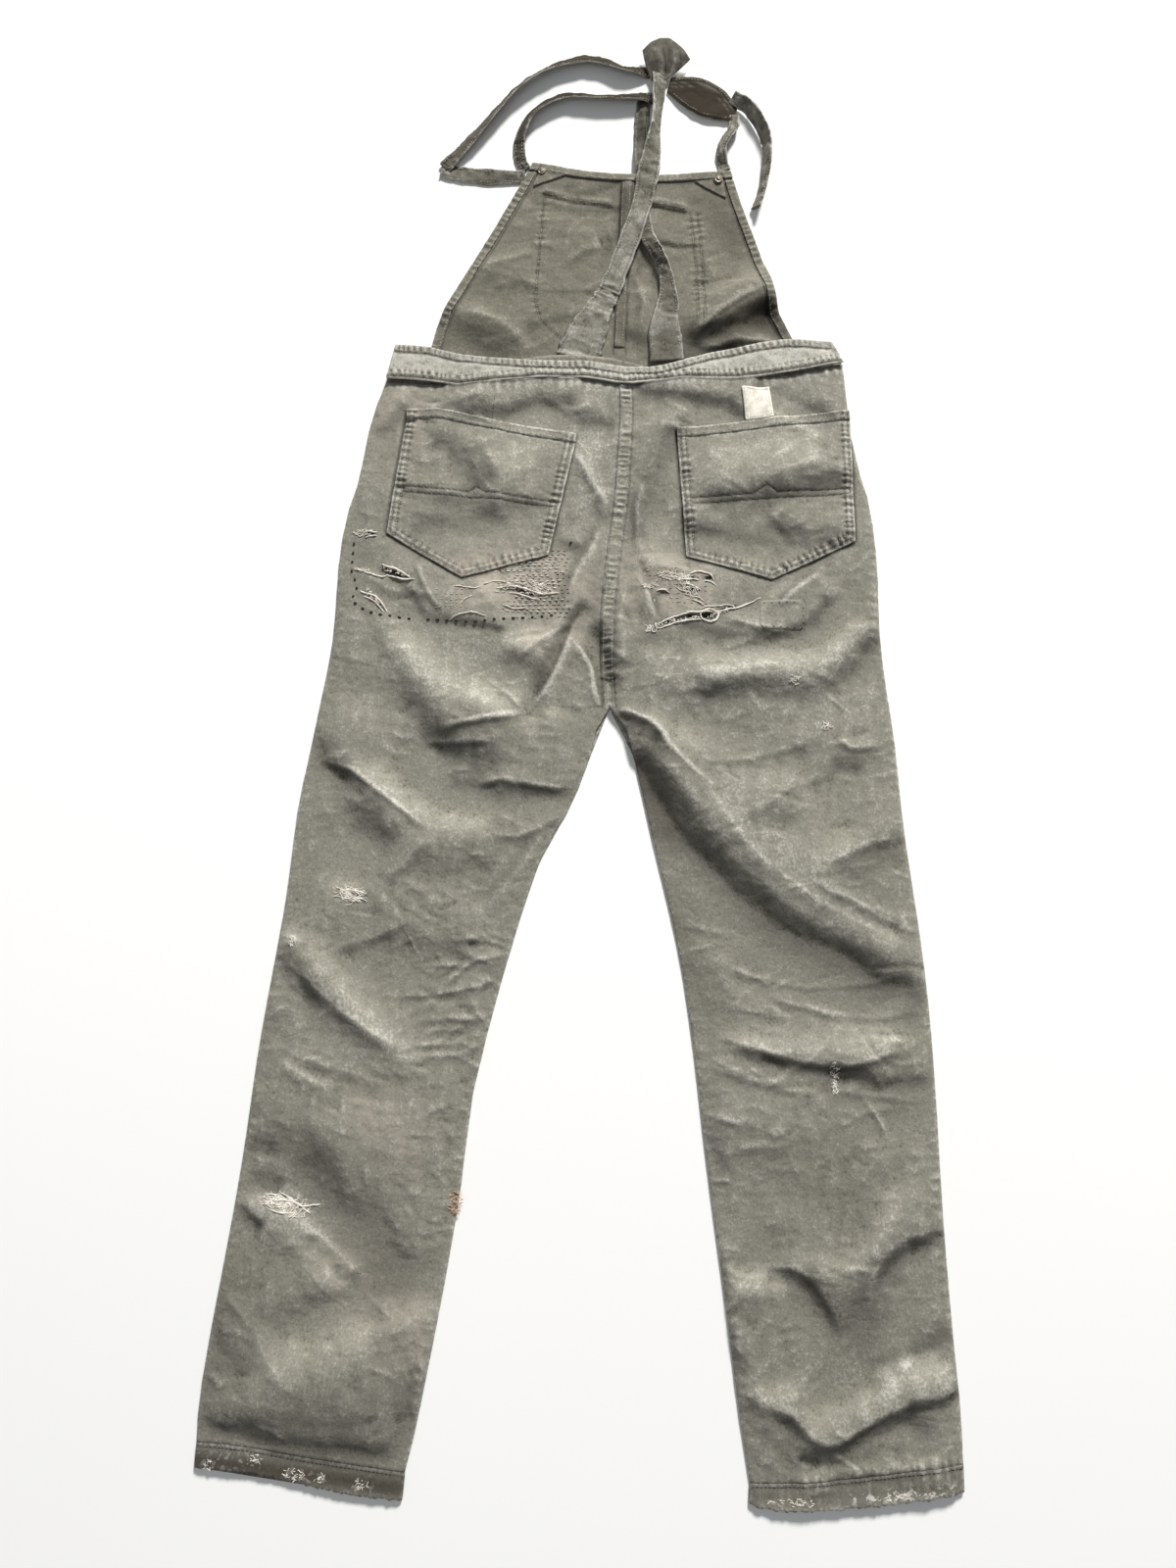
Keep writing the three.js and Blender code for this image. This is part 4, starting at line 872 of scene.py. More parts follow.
def band_relief():
    relief = own_relief(["waistband_back"], 14, 3)
    relief.pucker(BAND_EDGE_UPPER, spacing=6.5, height=1.2, near=0, far=-7, seed=91)
    relief.pucker(BAND_EDGE_LOWER, spacing=6.5, height=1.2, near=3, far=10, seed=92)
    lower, upper = inset(BAND_EDGE_LOWER, 2.6), inset(BAND_EDGE_UPPER, -7.6)
    relief.crease(-1.2, 1.8, 1.8, lower, taper=0.02)
    relief.crease(-1.0, 1.6, 1.6, upper, taper=0.02)
    relief.roughen([(0.5, 16, 93, (1, 1)), (0.18, 4, 94, (1, 1))])
    relief.seams = [(1.1, 1.1, lower), (0.9, 1.1, upper)]
    relief.note_crests()
    return relief


def pocket_relief():
    """The body's relief with what the pockets' seams pull into the cloth over them."""
    relief = Relief((-215, 115), (300, 325))
    x, y = np.meshgrid(relief.xs, relief.ys)
    relief.z = body.sample(x, y)
    relief.tilt = body.sample(x, y, body.tilt)
    for seed, side in enumerate(SIDES):
        edge = POCKET_EDGES[side]
        relief.pucker(edge, spacing=7.0, height=1.2, near=0.5, far=11, seed=101 + seed)
        for height, reach, amount in ((-0.9, 1.6, 2.6), (-0.5, 1.3, 8.6), (0.9, 3.0, 5.6)):
            relief.crease(height, reach, reach, inset(resampled(edge, 80), amount), taper=0.01)
        relief.pucker(edge[1:4], spacing=10, height=0.9, near=3.0, far=8.0, seed=111 + seed)
    for line in POCKET_LINES:
        relief.crease(-0.8, 1.4, 1.4, line, taper=0.01)
        relief.pucker(line, spacing=7, height=0.12, near=-3, far=3, seed=104)
    relief.roughen([(0.3, 9, 105, (1, 1))])
    for side in SIDES:
        edge = resampled(POCKET_EDGES[side], 120)
        relief.seams += [(0.7, 0.9, inset(edge, amount)) for amount in (2.4, 8.2)]
    relief.seams += [(0.9, 0.8, line) for line in POCKET_LINES]
    relief.note_crests()
    return relief


body = body_relief()
bib = bib_relief()
band = band_relief()
pockets = pocket_relief()


# ---------------------------------------------------------------- meshes
def new_mesh(name, points, faces, material, fields=None):
    """An object from points in mm, with optional per-point numbers kept as attributes."""
    mesh = bpy.data.meshes.new(name)
    mesh.from_pydata([tuple(p) for p in np.asarray(points, float) * MM], [], [tuple(f) for f in faces])
    for field, values in (fields or {}).items():
        made = mesh.attributes.new(field, "FLOAT", "POINT")
        made.data.foreach_set("value", np.asarray(values, np.float32))
    mesh.materials.append(material)
    mesh.polygons.foreach_set("use_smooth", [True] * len(mesh.polygons))
    mesh.update()
    piece = bpy.data.objects.new(name, mesh)
    bpy.context.scene.collection.objects.link(piece)
    return piece


def grid_faces(down, across, start=0, flip=False):
    r, c = np.meshgrid(np.arange(down - 1), np.arange(across - 1), indexing="ij")
    a = start + r * across + c
    quads = np.stack([a, a + across, a + across + 1, a + 1], axis=-1).reshape(-1, 4)
    return quads[:, ::-1] if flip else quads


def rim_loop(down, across):
    """Indices round a grid, anticlockwise seen from above when rows run downwards."""
    left = [r * across for r in range(down)]
    bottom = [(down - 1) * across + c for c in range(1, across)]
    right = [r * across + across - 1 for r in range(down - 2, -1, -1)]
    top = [c for c in range(across - 2, 0, -1)]
    return np.array(left + bottom + right + top)


HOLE_ROOM = (0.6, 1.7)  # points this far from a hole's middle, as a share of the way to its edge, are moved
HOLE_FAR = 1.35  # beyond this share they move only part of the way
HOLE_FAR_SHARE = 0.4
HOLE_CUT = 0.97  # faces with their middle nearer than this are cut out


def hole_reach(points, hole):
    """How far points are from the middle of a hole, as a share of the way to its ragged edge."""
    x, y, half_length, half_width, turn = hole
    c, s = math.cos(math.radians(turn)), math.sin(math.radians(turn))
    u = ((points[..., 0] - x) * c + (points[..., 1] - y) * s) / half_length
    v = ((points[..., 1] - y) * c - (points[..., 0] - x) * s) / half_width
    angle = np.arctan2(v, u)
    ragged = 1 + 0.14 * np.sin(3 * angle + x) + 0.10 * np.sin(7 * angle + y)
    return np.hypot(u, v) / ragged


def pull_to_holes(grid, holes):
    """Moves the points beside each hole onto its edge, so that the cut follows it."""
    for hole in holes:
        reach = hole_reach(grid, hole)
        beside = (reach > HOLE_ROOM[0]) & (reach < HOLE_ROOM[1])
        centre = np.array(hole[:2])
        step = np.where(beside, 1 / np.maximum(reach, 0.1), 1.0)
        step = np.where(reach > HOLE_FAR, 1 + (step - 1) * HOLE_FAR_SHARE, step)
        grid[..., :2] = centre + (grid[..., :2] - centre) * step[..., None]
    return grid


def without_holes(points, faces, holes):
    if not holes:
        return faces
    middles = np.array([points[list(face)].mean(0) for face in faces])
    keep = np.ones(len(faces), bool)
    for hole in holes:
        keep &= hole_reach(middles, hole) >= HOLE_CUT
    return [face for face, kept in zip(faces, keep) if kept]


RIM_SWELL = 0.35  # how far the rim stands out, as a share of the wall
COARSE = 3  # the underside has one cell for this many cells of the top each way


def rim_points(edge, thickness):
    """The middle of a wall's rounded rim, from the edge of its top."""
    ahead = np.roll(edge, -1, axis=0) - np.roll(edge, 1, axis=0)
    outward = np.stack([ahead[:, 1], -ahead[:, 0]], axis=1)
    outward /= np.linalg.norm(outward, axis=1)[:, None] + 1e-9
    swell = edge.copy()
    swell[:, :2] += outward * thickness * RIM_SWELL
    swell[:, 2] -= thickness / 2
    return swell


def shell(grid, thickness):
    """A cloth wall from a grid (down, across, 3) of top points: a rounded rim and a coarser underside."""
    down, across = grid.shape[:2]
    top = grid.reshape(-1, 3)
    rim = rim_loop(down, across)
    under = grid[::COARSE, ::COARSE]
    points = np.vstack([top, rim_points(top[rim], thickness), under.reshape(-1, 3) - [0, 0, thickness]])
    n, m = len(top), len(rim)
    ring = np.arange(m)
    following = np.roll(ring, -1)
    upper = np.stack([rim[ring], n + ring, n + following, rim[following]], axis=1).tolist()
    low_rim = n + m + rim_loop(*under.shape[:2])
    lower = []
    for k, corner in enumerate(low_rim):
        fine = [n + (k * COARSE + i) % m for i in range(COARSE + 1)]
        lower.append([*fine[::-1], corner, low_rim[(k + 1) % len(low_rim)]])
    faces = grid_faces(down, across).tolist() + upper + lower
    faces += grid_faces(*under.shape[:2], n + m, True).tolist()
    return points, faces


# ---------------------------------------------------------------- wear and painted light and shade
# Wear and painted light and shade: (strength, reach, line of points). brown holds stains and paint
# holds paint flecks. pale is painted light on slopes that face the strap end, and a paler waistband.
# dark is painted shade on slopes that face away, on the waistband and the bib, and darker hems.
WEAR_AND_PAINTED_LIGHT = {
    "brown": [
        (1.1, 30, [(-110, 128), (-40, 130)]),
        (0.6, 26, [(-5, 120), (-40, 60)]),
        (0.7, 30, [(60, 130), (110, 120)]),
        (0.5, 40, [(-200, 330), (-200, 300)]),
        (0.5, 30, [(-200, -400), (-170, -430)]),
        (0.5, 24, [(60, -80), (80, -120)]),
        (0.4, 30, [(-230, -540), (-160, -600)]),
    ],
    # Painted light on slopes that face the strap end; the last row is a paler waistband.
    "pale": [
        (0.55, 40, [(-170, 40), (-80, 40)]),
        (0.5, 44, [(110, 20), (240, 10)]),
        (0.5, 26, [(160, -110), (260, -200)]),
        (0.6, 12, [(-300, -482), (-245, -512)]),
        (0.4, 30, [(-230, -290), (-190, -330)]),
        (0.4, 30, [(190, -640), (300, -630)]),
        (0.4, 20, [(-60, 250), (-40, 300)]),
        (0.4, 22, [(140, 265), (230, 280)]),
        (0.9, 22, [(8, 290), (14, 215)]),
        (1.9, 18, [(-200, 369), (-46, 360), (47, 352), (140, 364), (270, 380)]),
    ],
    # Painted shade on slopes that face away, on the waistband and the bib; the rows along the hem bottoms
    # darken the hems.
    "dark": [
        (0.5, 40, [(-330, -560), (-330, -660)]),
        (0.6, 20, [(-320, -670), (-180, -700)]),
        (0.9, 24, [(60, -60), (85, -130)]),
        (0.5, 24, [(90, -200), (120, -300)]),
        (0.5, 26, [(-150, 390), (-60, 385)]),
        (1.1, 16, [(160, 405), (208, 425)]),
        (0.4, 22, [(-285, -420), (-250, -450)]),
        (1.9, 12, [(-352, -710), (-256, -722), (-161, -734)]),
        (0.8, 11, [(156, -740), (250, -736), (351, -727)]),
        (1.2, 3, [(268, 381), (274, 380)]),
        (0.7, 25, [(150, 560), (168, 515)]),
        (0.9, 4, [(-55, 374), (5, 371), (60, 366)]),
        (0.4, 30, [(-190, -560), (-180, -640)]),
        (0.35, 60, [(250, -430), (240, -560), (230, -700)]),
    ],
    "paint": [
        (1.0, 7, [(-345, -712), (-294, -712)]),
        (1.0, 6, [(-270, -721), (-236, -726)]),
        (1.0, 6, [(-206, -731), (-194, -733)]),
        (0.9, 7, [(-285, -484), (-262, -487)]),
        (0.8, 4, [(243, -362), (245, -376)]),
        (0.8, 3, [(214, 21), (217, 21)]),
        (0.8, 3, [(244, -26), (246, -26)]),
        (0.8, 5, [(250, -742), (340, -734)]),
        (0.7, 3, [(-280, -236), (-280, -241)]),
    ],
}


def fields_for(points, relief):
    """Numbers that the cloth's material reads at each point: worn crests, slopes painted as light and shade,
    marks with painted light and shade, and seam lines with painted shadows.
    """
    x, y = points[:, 0], points[:, 1]
    out = {field: sum_of_spots(x, y, spots) for field, spots in WEAR_AND_PAINTED_LIGHT.items()}
    out["crest"] = np.clip(relief.sample(x, y, relief.fine), -1, 1)
    # Painted light and shade from the slopes.
    out["lit"] = relief.sample(x, y, relief.tilt)
    out["seam"] = sum_of_spots(x, y, relief.seams)
    return out


# ---------------------------------------------------------------- materials
class Nodes:
    """Short ways to add and join shader nodes."""

    def __init__(self, name):
        self.material = bpy.data.materials.new(name)
        self.material.use_nodes = True
        self.tree = self.material.node_tree
        self.surface = self.tree.nodes["Principled BSDF"]
        self.place = self.add("ShaderNodeTexCoord").outputs["Object"]

    def add(self, kind, **settings):
        node = self.tree.nodes.new(kind)
        for key, value in settings.items():
            setattr(node, key, value)
        return node

    def link(self, source, socket):
        if isinstance(source, (int, float, tuple)):
            socket.default_value = source
        else:
            self.tree.links.new(source, socket)

    def math(self, operation, a, b=0.0, c=0.0, clamp=False):
        node = self.add("ShaderNodeMath", operation=operation, use_clamp=clamp)
        for value, socket in zip((a, b, c), node.inputs):
            self.link(value, socket)
        return node.outputs[0]

    def stretched(self, scale, turn=0.0):
        node = self.add("ShaderNodeMapping")
        node.inputs["Scale"].default_value = scale
        node.inputs["Rotation"].default_value = (0, 0, math.radians(turn))
        self.link(self.place, node.inputs["Vector"])
        return node.outputs[0]

    def noise(self, size_mm, detail=3.0, rough=0.6, stretch=(1, 1, 1), turn=0.0, spin=0.0):
        node = self.add("ShaderNodeTexNoise", noise_dimensions="4D")
        self.link(self.stretched(stretch, turn), node.inputs["Vector"])
        node.inputs["Scale"].default_value = 1000 / size_mm
        node.inputs["Detail"].default_value = detail
        node.inputs["Roughness"].default_value = rough
        node.inputs["W"].default_value = spin
        return node.outputs["Fac"]

    def wave(self, spacing_mm, turn, distortion=1.2):
        node = self.add("ShaderNodeTexWave", wave_type="BANDS", bands_direction="X")
        self.link(self.stretched((1, 1, 1), turn), node.inputs["Vector"])
        node.inputs["Scale"].default_value = 2 * math.pi / (20 * spacing_mm * MM)
        node.inputs["Distortion"].default_value = distortion
        node.inputs["Detail"].default_value = 1.0
        node.inputs["Detail Scale"].default_value = 1.5
        return node.outputs["Fac"]

    def field(self, name):
        return self.add("ShaderNodeAttribute", attribute_name=name).outputs["Fac"]

    def spread(self, value, low, high, to_low=0.0, to_high=1.0):
        node = self.add("ShaderNodeMapRange", clamp=True, interpolation_type="SMOOTHSTEP")
        self.link(value, node.inputs["Value"])
        for key, number in zip(("From Min", "From Max", "To Min", "To Max"), (low, high, to_low, to_high)):
            node.inputs[key].default_value = number
        return node.outputs["Result"]

    def mix(self, share, a, b):
        node = self.add("ShaderNodeMix", data_type="RGBA")
        self.link(share, node.inputs["Factor"])
        for value, socket in ((a, node.inputs[6]), (b, node.inputs[7])):
            if isinstance(value, tuple):
                socket.default_value = (*value, 1)
            else:
                self.link(value, socket)
        return node.outputs[2]

    def scaled(self, colour, amount):
        node = self.add("ShaderNodeVectorMath", operation="SCALE")
        self.link(colour, node.inputs[0])
        self.link(amount, node.inputs["Scale"])
        return node.outputs[0]

    def bump(self, height, distance_mm, strength=1.0, below=None):
        node = self.add("ShaderNodeBump")
        node.inputs["Distance"].default_value = distance_mm * MM
        node.inputs["Strength"].default_value = strength
        self.link(height, node.inputs["Height"])
        if below is not None:
            self.link(below, node.inputs["Normal"])
        return node.outputs["Normal"]


# Linear colours of the cloth.
TWILL_PALE = (0.480, 0.468, 0.415)
TWILL_MID = (0.226, 0.217, 0.180)
TWILL_DARK = (0.070, 0.063, 0.046)
WORN_PINK = (0.40, 0.352, 0.292)
INSIDE_PALE = (0.33, 0.315, 0.265)
INSIDE_MID = (0.165, 0.156, 0.124)
INSIDE_DARK = (0.052, 0.046, 0.033)
PAINT = (0.80, 0.78, 0.72)
# Mixed in by the dark field: mostly painted shade, and darker cloth along the hems.
DARKENING_AND_PAINTED_SHADE = (0.034, 0.027, 0.018)
METAL_DARK = (0.030, 0.025, 0.020)
METAL_WORN = (0.28, 0.25, 0.20)


def cloth_tone(n, grain, grain_turn):
    """How pale the cloth is: streaky warp grain, blotches, worn ridges and edges, and the pale field, which
    is mostly painted light, around 0.
    """
    large = n.noise(90, 3, 0.6)
    blotch = n.noise(22, 4, 0.62, spin=3.0)
    mottle = n.noise(6.5, 4, 0.7, spin=5.0)
    slub = n.noise(2.2, 2, 0.6, (0.25, 1.0, 1.0), grain_turn, 9.0)
    tone = n.math("MULTIPLY_ADD", large, 0.26, -0.13)
    for source, weight in ((blotch, 0.20), (mottle, 0.20), (grain, 1.9), (slub, 0.22)):
        tone = n.math("ADD", tone, n.math("MULTIPLY_ADD", source, weight, -weight / 2))
    tone = n.math("MULTIPLY_ADD", n.field("crest"), 0.38, tone)
    frayed = n.spread(n.noise(3.2, 3, 0.7, spin=11.0), 0.36, 0.60)
    tone = n.math("MULTIPLY_ADD", n.math("MULTIPLY", n.field("edge"), frayed), 0.60, tone)
    # The pale field: mostly painted light, and paler strap edges.
    return n.math("MULTIPLY_ADD", n.field("pale"), 0.28, tone)


def cloth_colour(n, tone, pale, mid, dark):
    """The tone as a colour, with brown and painted places, darkening that is mostly painted shade, and
    painted light and shade on slopes and along seams.
    """
    low = n.mix(n.spread(tone, -0.75, 0.0), dark, mid)
    colour = n.mix(n.spread(tone, 0.0, 0.75), low, pale)
    stain = n.spread(n.noise(12, 4, 0.7, spin=13.0), 0.35, 0.6)
    brown = n.math("MULTIPLY", n.field("brown"), stain, clamp=True)
    colour = n.mix(n.math("MULTIPLY", brown, 0.75), colour, WORN_PINK)
    fleck = n.spread(n.noise(5.5, 3, 0.55, spin=17.0), 0.54, 0.58)
    colour = n.mix(n.math("MULTIPLY", n.field("paint"), fleck, clamp=True), colour, PAINT)
    # The dark field: mostly painted shade.
    colour = n.mix(n.math("MULTIPLY", n.field("dark"), 0.44, clamp=True), colour, DARKENING_AND_PAINTED_SHADE)
    # Painted light and shade: paler where the cloth faces the key light, darker where it faces away and along
    # the seam lines, which include painted shadows.
    light = n.math("MULTIPLY_ADD", n.field("lit"), 0.36, 1.07)
    light = n.math("MULTIPLY_ADD", n.field("seam"), -0.72, light)
    return n.scaled(colour, n.math("MAXIMUM", light, 0.12))


def cloth(name, pale, mid, dark, grain_turn=0.0):
    """Washed twill: a mottled, worn colour with painted light and shade, soft crinkles, fuzz and the diagonal
    ribs of the weave.
    """
    n = Nodes(name)
    grain = n.noise(2.5, 3, 0.8, (1.0, 0.8, 1.0), grain_turn, 7.0)
    colour = cloth_colour(n, cloth_tone(n, grain, grain_turn), pale, mid, dark)
    n.link(colour, n.surface.inputs["Base Color"])
    for socket, value in (("Roughness", 0.88), ("Specular IOR Level", 0.10)):
        n.surface.inputs[socket].default_value = value
    for socket, value in (("Sheen Weight", 0.04), ("Sheen Roughness", 0.6)):
        n.surface.inputs[socket].default_value = value
    crinkle = n.math("SUBTRACT", n.noise(38, 3, 0.55, (0.7, 1.0, 1.0), grain_turn, 15.0), 0.5)
    soft = n.bump(n.math("ABSOLUTE", crinkle), 10.0, 0.45)
    fuzz = n.bump(grain, 0.6, 0.9, soft)
    n.link(n.bump(n.wave(1.15, 27 + grain_turn), 0.22, 0.55, fuzz), n.surface.inputs["Normal"])
    return n.material


def two_toned(n, tone, low, high, dark, pale, roughness):
    """The colour between dark and pale that a tone gives, and an even roughness."""
    n.link(n.mix(n.spread(tone, low, high), dark, pale), n.surface.inputs["Base Color"])
    n.surface.inputs["Roughness"].default_value = roughness


def plain_cloth(name, pale, dark):
    """The bare label: pale felted cloth with small stains."""
    n = Nodes(name)
    stains = n.math("MULTIPLY_ADD", n.noise(1.6, 2, 0.7, spin=2.0), 0.6, -0.3)
    two_toned(n, n.math("ADD", n.noise(9, 4, 0.65), stains), 0.25, 0.62, dark, pale, 0.85)
    n.link(n.bump(n.noise(1.2, 3, 0.7), 0.4, 0.7), n.surface.inputs["Normal"])
    return n.material


def thread_material(name, pale, dark):
    n = Nodes(name)
    two_toned(n, n.noise(5.5, 3, 0.7, spin=4.0), 0.36, 0.64, dark, pale, 0.9)
    n.link(n.bump(n.noise(0.5, 2, 0.6), 0.15, 0.6), n.surface.inputs["Normal"])
    return n.material


def old_metal():
    """Dark metal, worn brighter and smoother in places."""
    n = Nodes("old_metal")
    worn = n.spread(n.noise(1.6, 4, 0.7), 0.42, 0.6)
    n.link(n.mix(worn, METAL_DARK, METAL_WORN), n.surface.inputs["Base Color"])
    n.surface.inputs["Metallic"].default_value = 0.85
    n.link(n.spread(worn, 0, 1, 0.7, 0.42), n.surface.inputs["Roughness"])
    n.link(n.bump(n.noise(0.9, 3, 0.7), 0.15, 0.6), n.surface.inputs["Normal"])
    return n.material


TWILL = cloth("twill_face", TWILL_PALE, TWILL_MID, TWILL_DARK)
INSIDE = cloth("twill_inner_face", INSIDE_PALE, INSIDE_MID, INSIDE_DARK, 3)
LABEL = plain_cloth("label_cloth", (0.84, 0.81, 0.71), (0.60, 0.56, 0.46))
THREAD = thread_material("thread", (0.60, 0.57, 0.49), (0.16, 0.14, 0.10))
DARNING = thread_material("darning_thread", (0.74, 0.70, 0.62), (0.42, 0.36, 0.29))
# Also gives the painted shade between the darning rows.
DARK_THREAD_AND_GAP_SHADE = thread_material("dark_thread_and_gap_shade", (0.030, 0.027, 0.020), (0.012, 0.011, 0.009))
PALE_THREAD = thread_material("pale_thread", (0.86, 0.83, 0.76), (0.58, 0.53, 0.45))
PEACH_THREAD = thread_material("peach_thread", (0.66, 0.50, 0.38), (0.42, 0.28, 0.19))
METAL = old_metal()


# ---------------------------------------------------------------- cloth pieces
def finished(piece, nodes):
    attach(piece, "root")
    if nodes:
        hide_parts(*([nodes] if isinstance(nodes, str) else nodes))
    return piece


def counts(width, height, spacing):
    """Columns and rows about spacing apart, each a multiple of COARSE plus one."""
    return [COARSE * max(1, round(size / spacing / COARSE)) + 1 for size in (width, height)]


def grid_edge_distance(grid):
    """Distance in mm of each grid point from the nearest side of the grid."""
    down, across = grid.shape[:2]
    dx = np.linalg.norm(np.diff(grid[:, :, :2], axis=1), axis=2).mean(1)[:, None]
    dy = np.linalg.norm(np.diff(grid[:, :, :2], axis=0), axis=2).mean(0)[None, :]
    r = np.arange(down)[:, None]
    c = np.arange(across)[None]
    return np.minimum(np.minimum(r, down - 1 - r) * dy, np.minimum(c, across - 1 - c) * dx)


def sheet_mesh(name, grid, thickness, material, relief, worn_edge=1.0, extra=None, holes=()):
    """A cloth piece from a grid of top points, with the fields that its material reads."""
    points, faces = shell(grid, thickness)
    faces = without_holes(points, faces, holes)
    fields = fields_for(points, relief)
    tops = grid.shape[0] * grid.shape[1]
    fields["edge"] = np.full(len(points), worn_edge)
    fields["edge"][:tops] = np.exp(-grid_edge_distance(grid) / 2.2).reshape(-1) * worn_edge
    for key, values in (extra or {}).items():
        fields[key][:tops] = np.maximum(fields[key][:tops], np.asarray(values).reshape(-1))
    return new_mesh(name, points, faces, material, fields)


def sheet(name, grid, thickness, material, slot, relief, cut, rests_on, nodes=None, area=None, **options):
    piece = finished(sheet_mesh(name, grid, thickness, material, relief, **options), nodes or name)
    return piece


EDGE_TOP = 2.7  # top of the cloth at a side seam
ROLL = 7.0  # how far in from a side seam the cloth turns down
SEAT_AWAY = 400  # added to the distance from the inner seam over the seat, where that seam lies flat


def rounded_down(z, edge_top, inward):
    """Heights that turn down to edge_top as a quarter of a round, where inward falls from 1 to 0."""
    return edge_top + (z - edge_top) * np.sqrt(1 - (1 - inward) ** 2)


def rolled_height(x, y, outer_line, inner_line):
    outer = nearest_on_line(x, y, outer_line)[0]
    inner = nearest_on_line(x, y, inner_line)[0] + SEAT_AWAY * smoothstep(-60, 30, y)
    return rounded_down(body.sample(x, y), EDGE_TOP, np.clip(np.minimum(outer, inner) / ROLL, 0, 1))


def rolled_grid(node, side, corners, size, spacing, smooth, count):
    """A back panel or hem whose outer and inner sides turn down to the seams; count points follow each."""
    sides = split_loop(outline(node), corners)
    across, down = counts(*size, spacing)
    xy = coons(sides, across, down, smooth)
    seams = SIDES if side == "left" else SIDES[::-1]
    outer, inner = (resampled(sides[edge][:, :2], count) for edge in seams)
    return np.dstack([xy, rolled_height(xy[..., 0], xy[..., 1], outer, inner)])


def hem_grid(side):
    """A back hem, with its worn lower edge."""
    grid = rolled_grid(f"hem_back_{side}", side, HEM_CORNERS[side], (192, 23), 2.2, 1, 12)
    fray = np.random.default_rng(71 if side == "left" else 72).normal(0, 0.7, grid.shape[1])
    grid[-1, :, 1] += fray
    grid[-2, :, 1] += fray * 0.5
    grid[..., 2] += 0.7
    return grid


def flat_grid(node, corners, spacing, top, seed, wave=0.25):
    """A piece that lies flat on the floor."""
    sides = split_loop(outline(node), corners)
    across, down = counts(line_length(sides["top"]), line_length(sides["left"]), spacing)
    xy = coons(sides, across, down, 1)
    lumps = noise_field((down, across), 3, seed)
    return np.dstack([xy, top + wave * np.clip(lumps, -0.5, 2.0)])


def on_relief(node, corners, spacing, relief, lift, smooth=1):
    """A piece that lies on a panel."""
    sides = split_loop(outline(node), corners)
    across, down = counts(line_length(sides["top"]), line_length(sides["left"]), spacing)
    xy = coons(sides, across, down, smooth)
    return np.dstack([xy, relief.sample(xy[..., 0], xy[..., 1]) + lift])


def build_legs():
    for side in SIDES:
        openings = [hole for hole in HOLES if (hole[0] < 40) == (side == "left")]
        grid = rolled_grid(f"back_leg_{side}", side, LEG_CORNERS[side], (262, 1090), 1.95, 2, 70)
        sheet(f"back_leg_{side}", pull_to_holes(grid, openings), CLOTH, TWILL, "twill", body, (0.33, 1.12),
              [f"front_leg_{side}"], area=0.26, worn_edge=0.8, holes=openings)
        sheet(f"hem_back_{side}", hem_grid(side), 2.0, TWILL, "twill", body, (0.2, 0.024),
              [f"hem_front_{side}"])
        front = flat_grid(f"front_leg_{side}", LEG_CORNERS[side], 6, CLOTH, 81)
        sheet(f"front_leg_{side}", front, CLOTH, TWILL, "twill", body, (0.33, 1.12), [FLOOR], area=0.26)
        front_hem = flat_grid(f"hem_front_{side}", HEM_CORNERS[side], 4, HEM_CLOTH, 83, 0.1)
        sheet(f"hem_front_{side}", front_hem, HEM_CLOTH, TWILL, "twill", body, (0.2, 0.024), [FLOOR])


def build_band():
    grid = on_relief("waistband_back", BAND_CORNERS, 1.25, band, 0.4)
    sheet("waistband_back", grid, 2.0, TWILL, "twill", band, (0.49, 0.045), SEAT, area=0.0125)
    inner = flat_grid("waistband_back_inner", INNER_BAND_CORNERS, 3, 7.4, 95, 0.3)
    sheet("waistband_back_inner", inner, CLOTH, INSIDE, "twill_inside", band, (0.131, 0.02),
          ["waistband_front"])
    front = flat_grid("waistband_front", FRONT_BAND_CORNERS, 5, CLOTH, 96, 0.3)
    sheet("waistband_front", front, CLOTH, TWILL, "twill", band, (0.49, 0.03), [FLOOR], area=0.0105)


def build_pockets():
    for side in SIDES:
        host = [f"back_leg_{side}"]
        grid = on_relief(f"back_pocket_{side}", POCKET_CORNERS[side], 1.4, pockets, LIFT + 0.6)
        sheet(f"back_pocket_{side}", grid, CLOTH + 0.3, TWILL, "twill", pockets, (0.185, 0.18), host,
              area=0.0265, worn_edge=1.6)
        rim = on_relief(f"pocket_hem_{side}", POCKET_HEM_CORNERS[side], 1.8, pockets, 3.4)
        sheet(f"pocket_hem_{side}", rim, HEM_CLOTH, TWILL, "twill", pockets, (0.18, 0.0105), host)


def build_small_patches():
    strip_corners = [(41, 343), (53, 343), (35, -4), (23, -4)]
    strip = on_relief("centre_back_seam", strip_corners, 1.3, body, 1.4)
    strip[:, [0, -1], 2] -= 0.5
    sheet("centre_back_seam", strip, CLOTH, TWILL, "twill", body, (0.0125, 0.35), SEAT)
    label = on_relief("label_patch", [(169, 339), (198, 340), (202, 307), (173, 304)], 1.3, body, 1.9, 0)
    sheet("label_patch", label, 1.1, LABEL, "patch_cloth", body, (0.03, 0.035), [SEAT[1]])
    patch = on_relief("seat_patch_right", [(182, 106), (229, 106), (228, 76), (183, 76)], 1.6, body, 1.1)
    patch[[0, -1], :, 2] -= 0.8
    patch[:, [0, -1], 2] -= 0.8
    sheet("seat_patch_right", patch, 0.9, TWILL, "twill", body, (0.048, 0.032), [SEAT[1]], worn_edge=0.1)


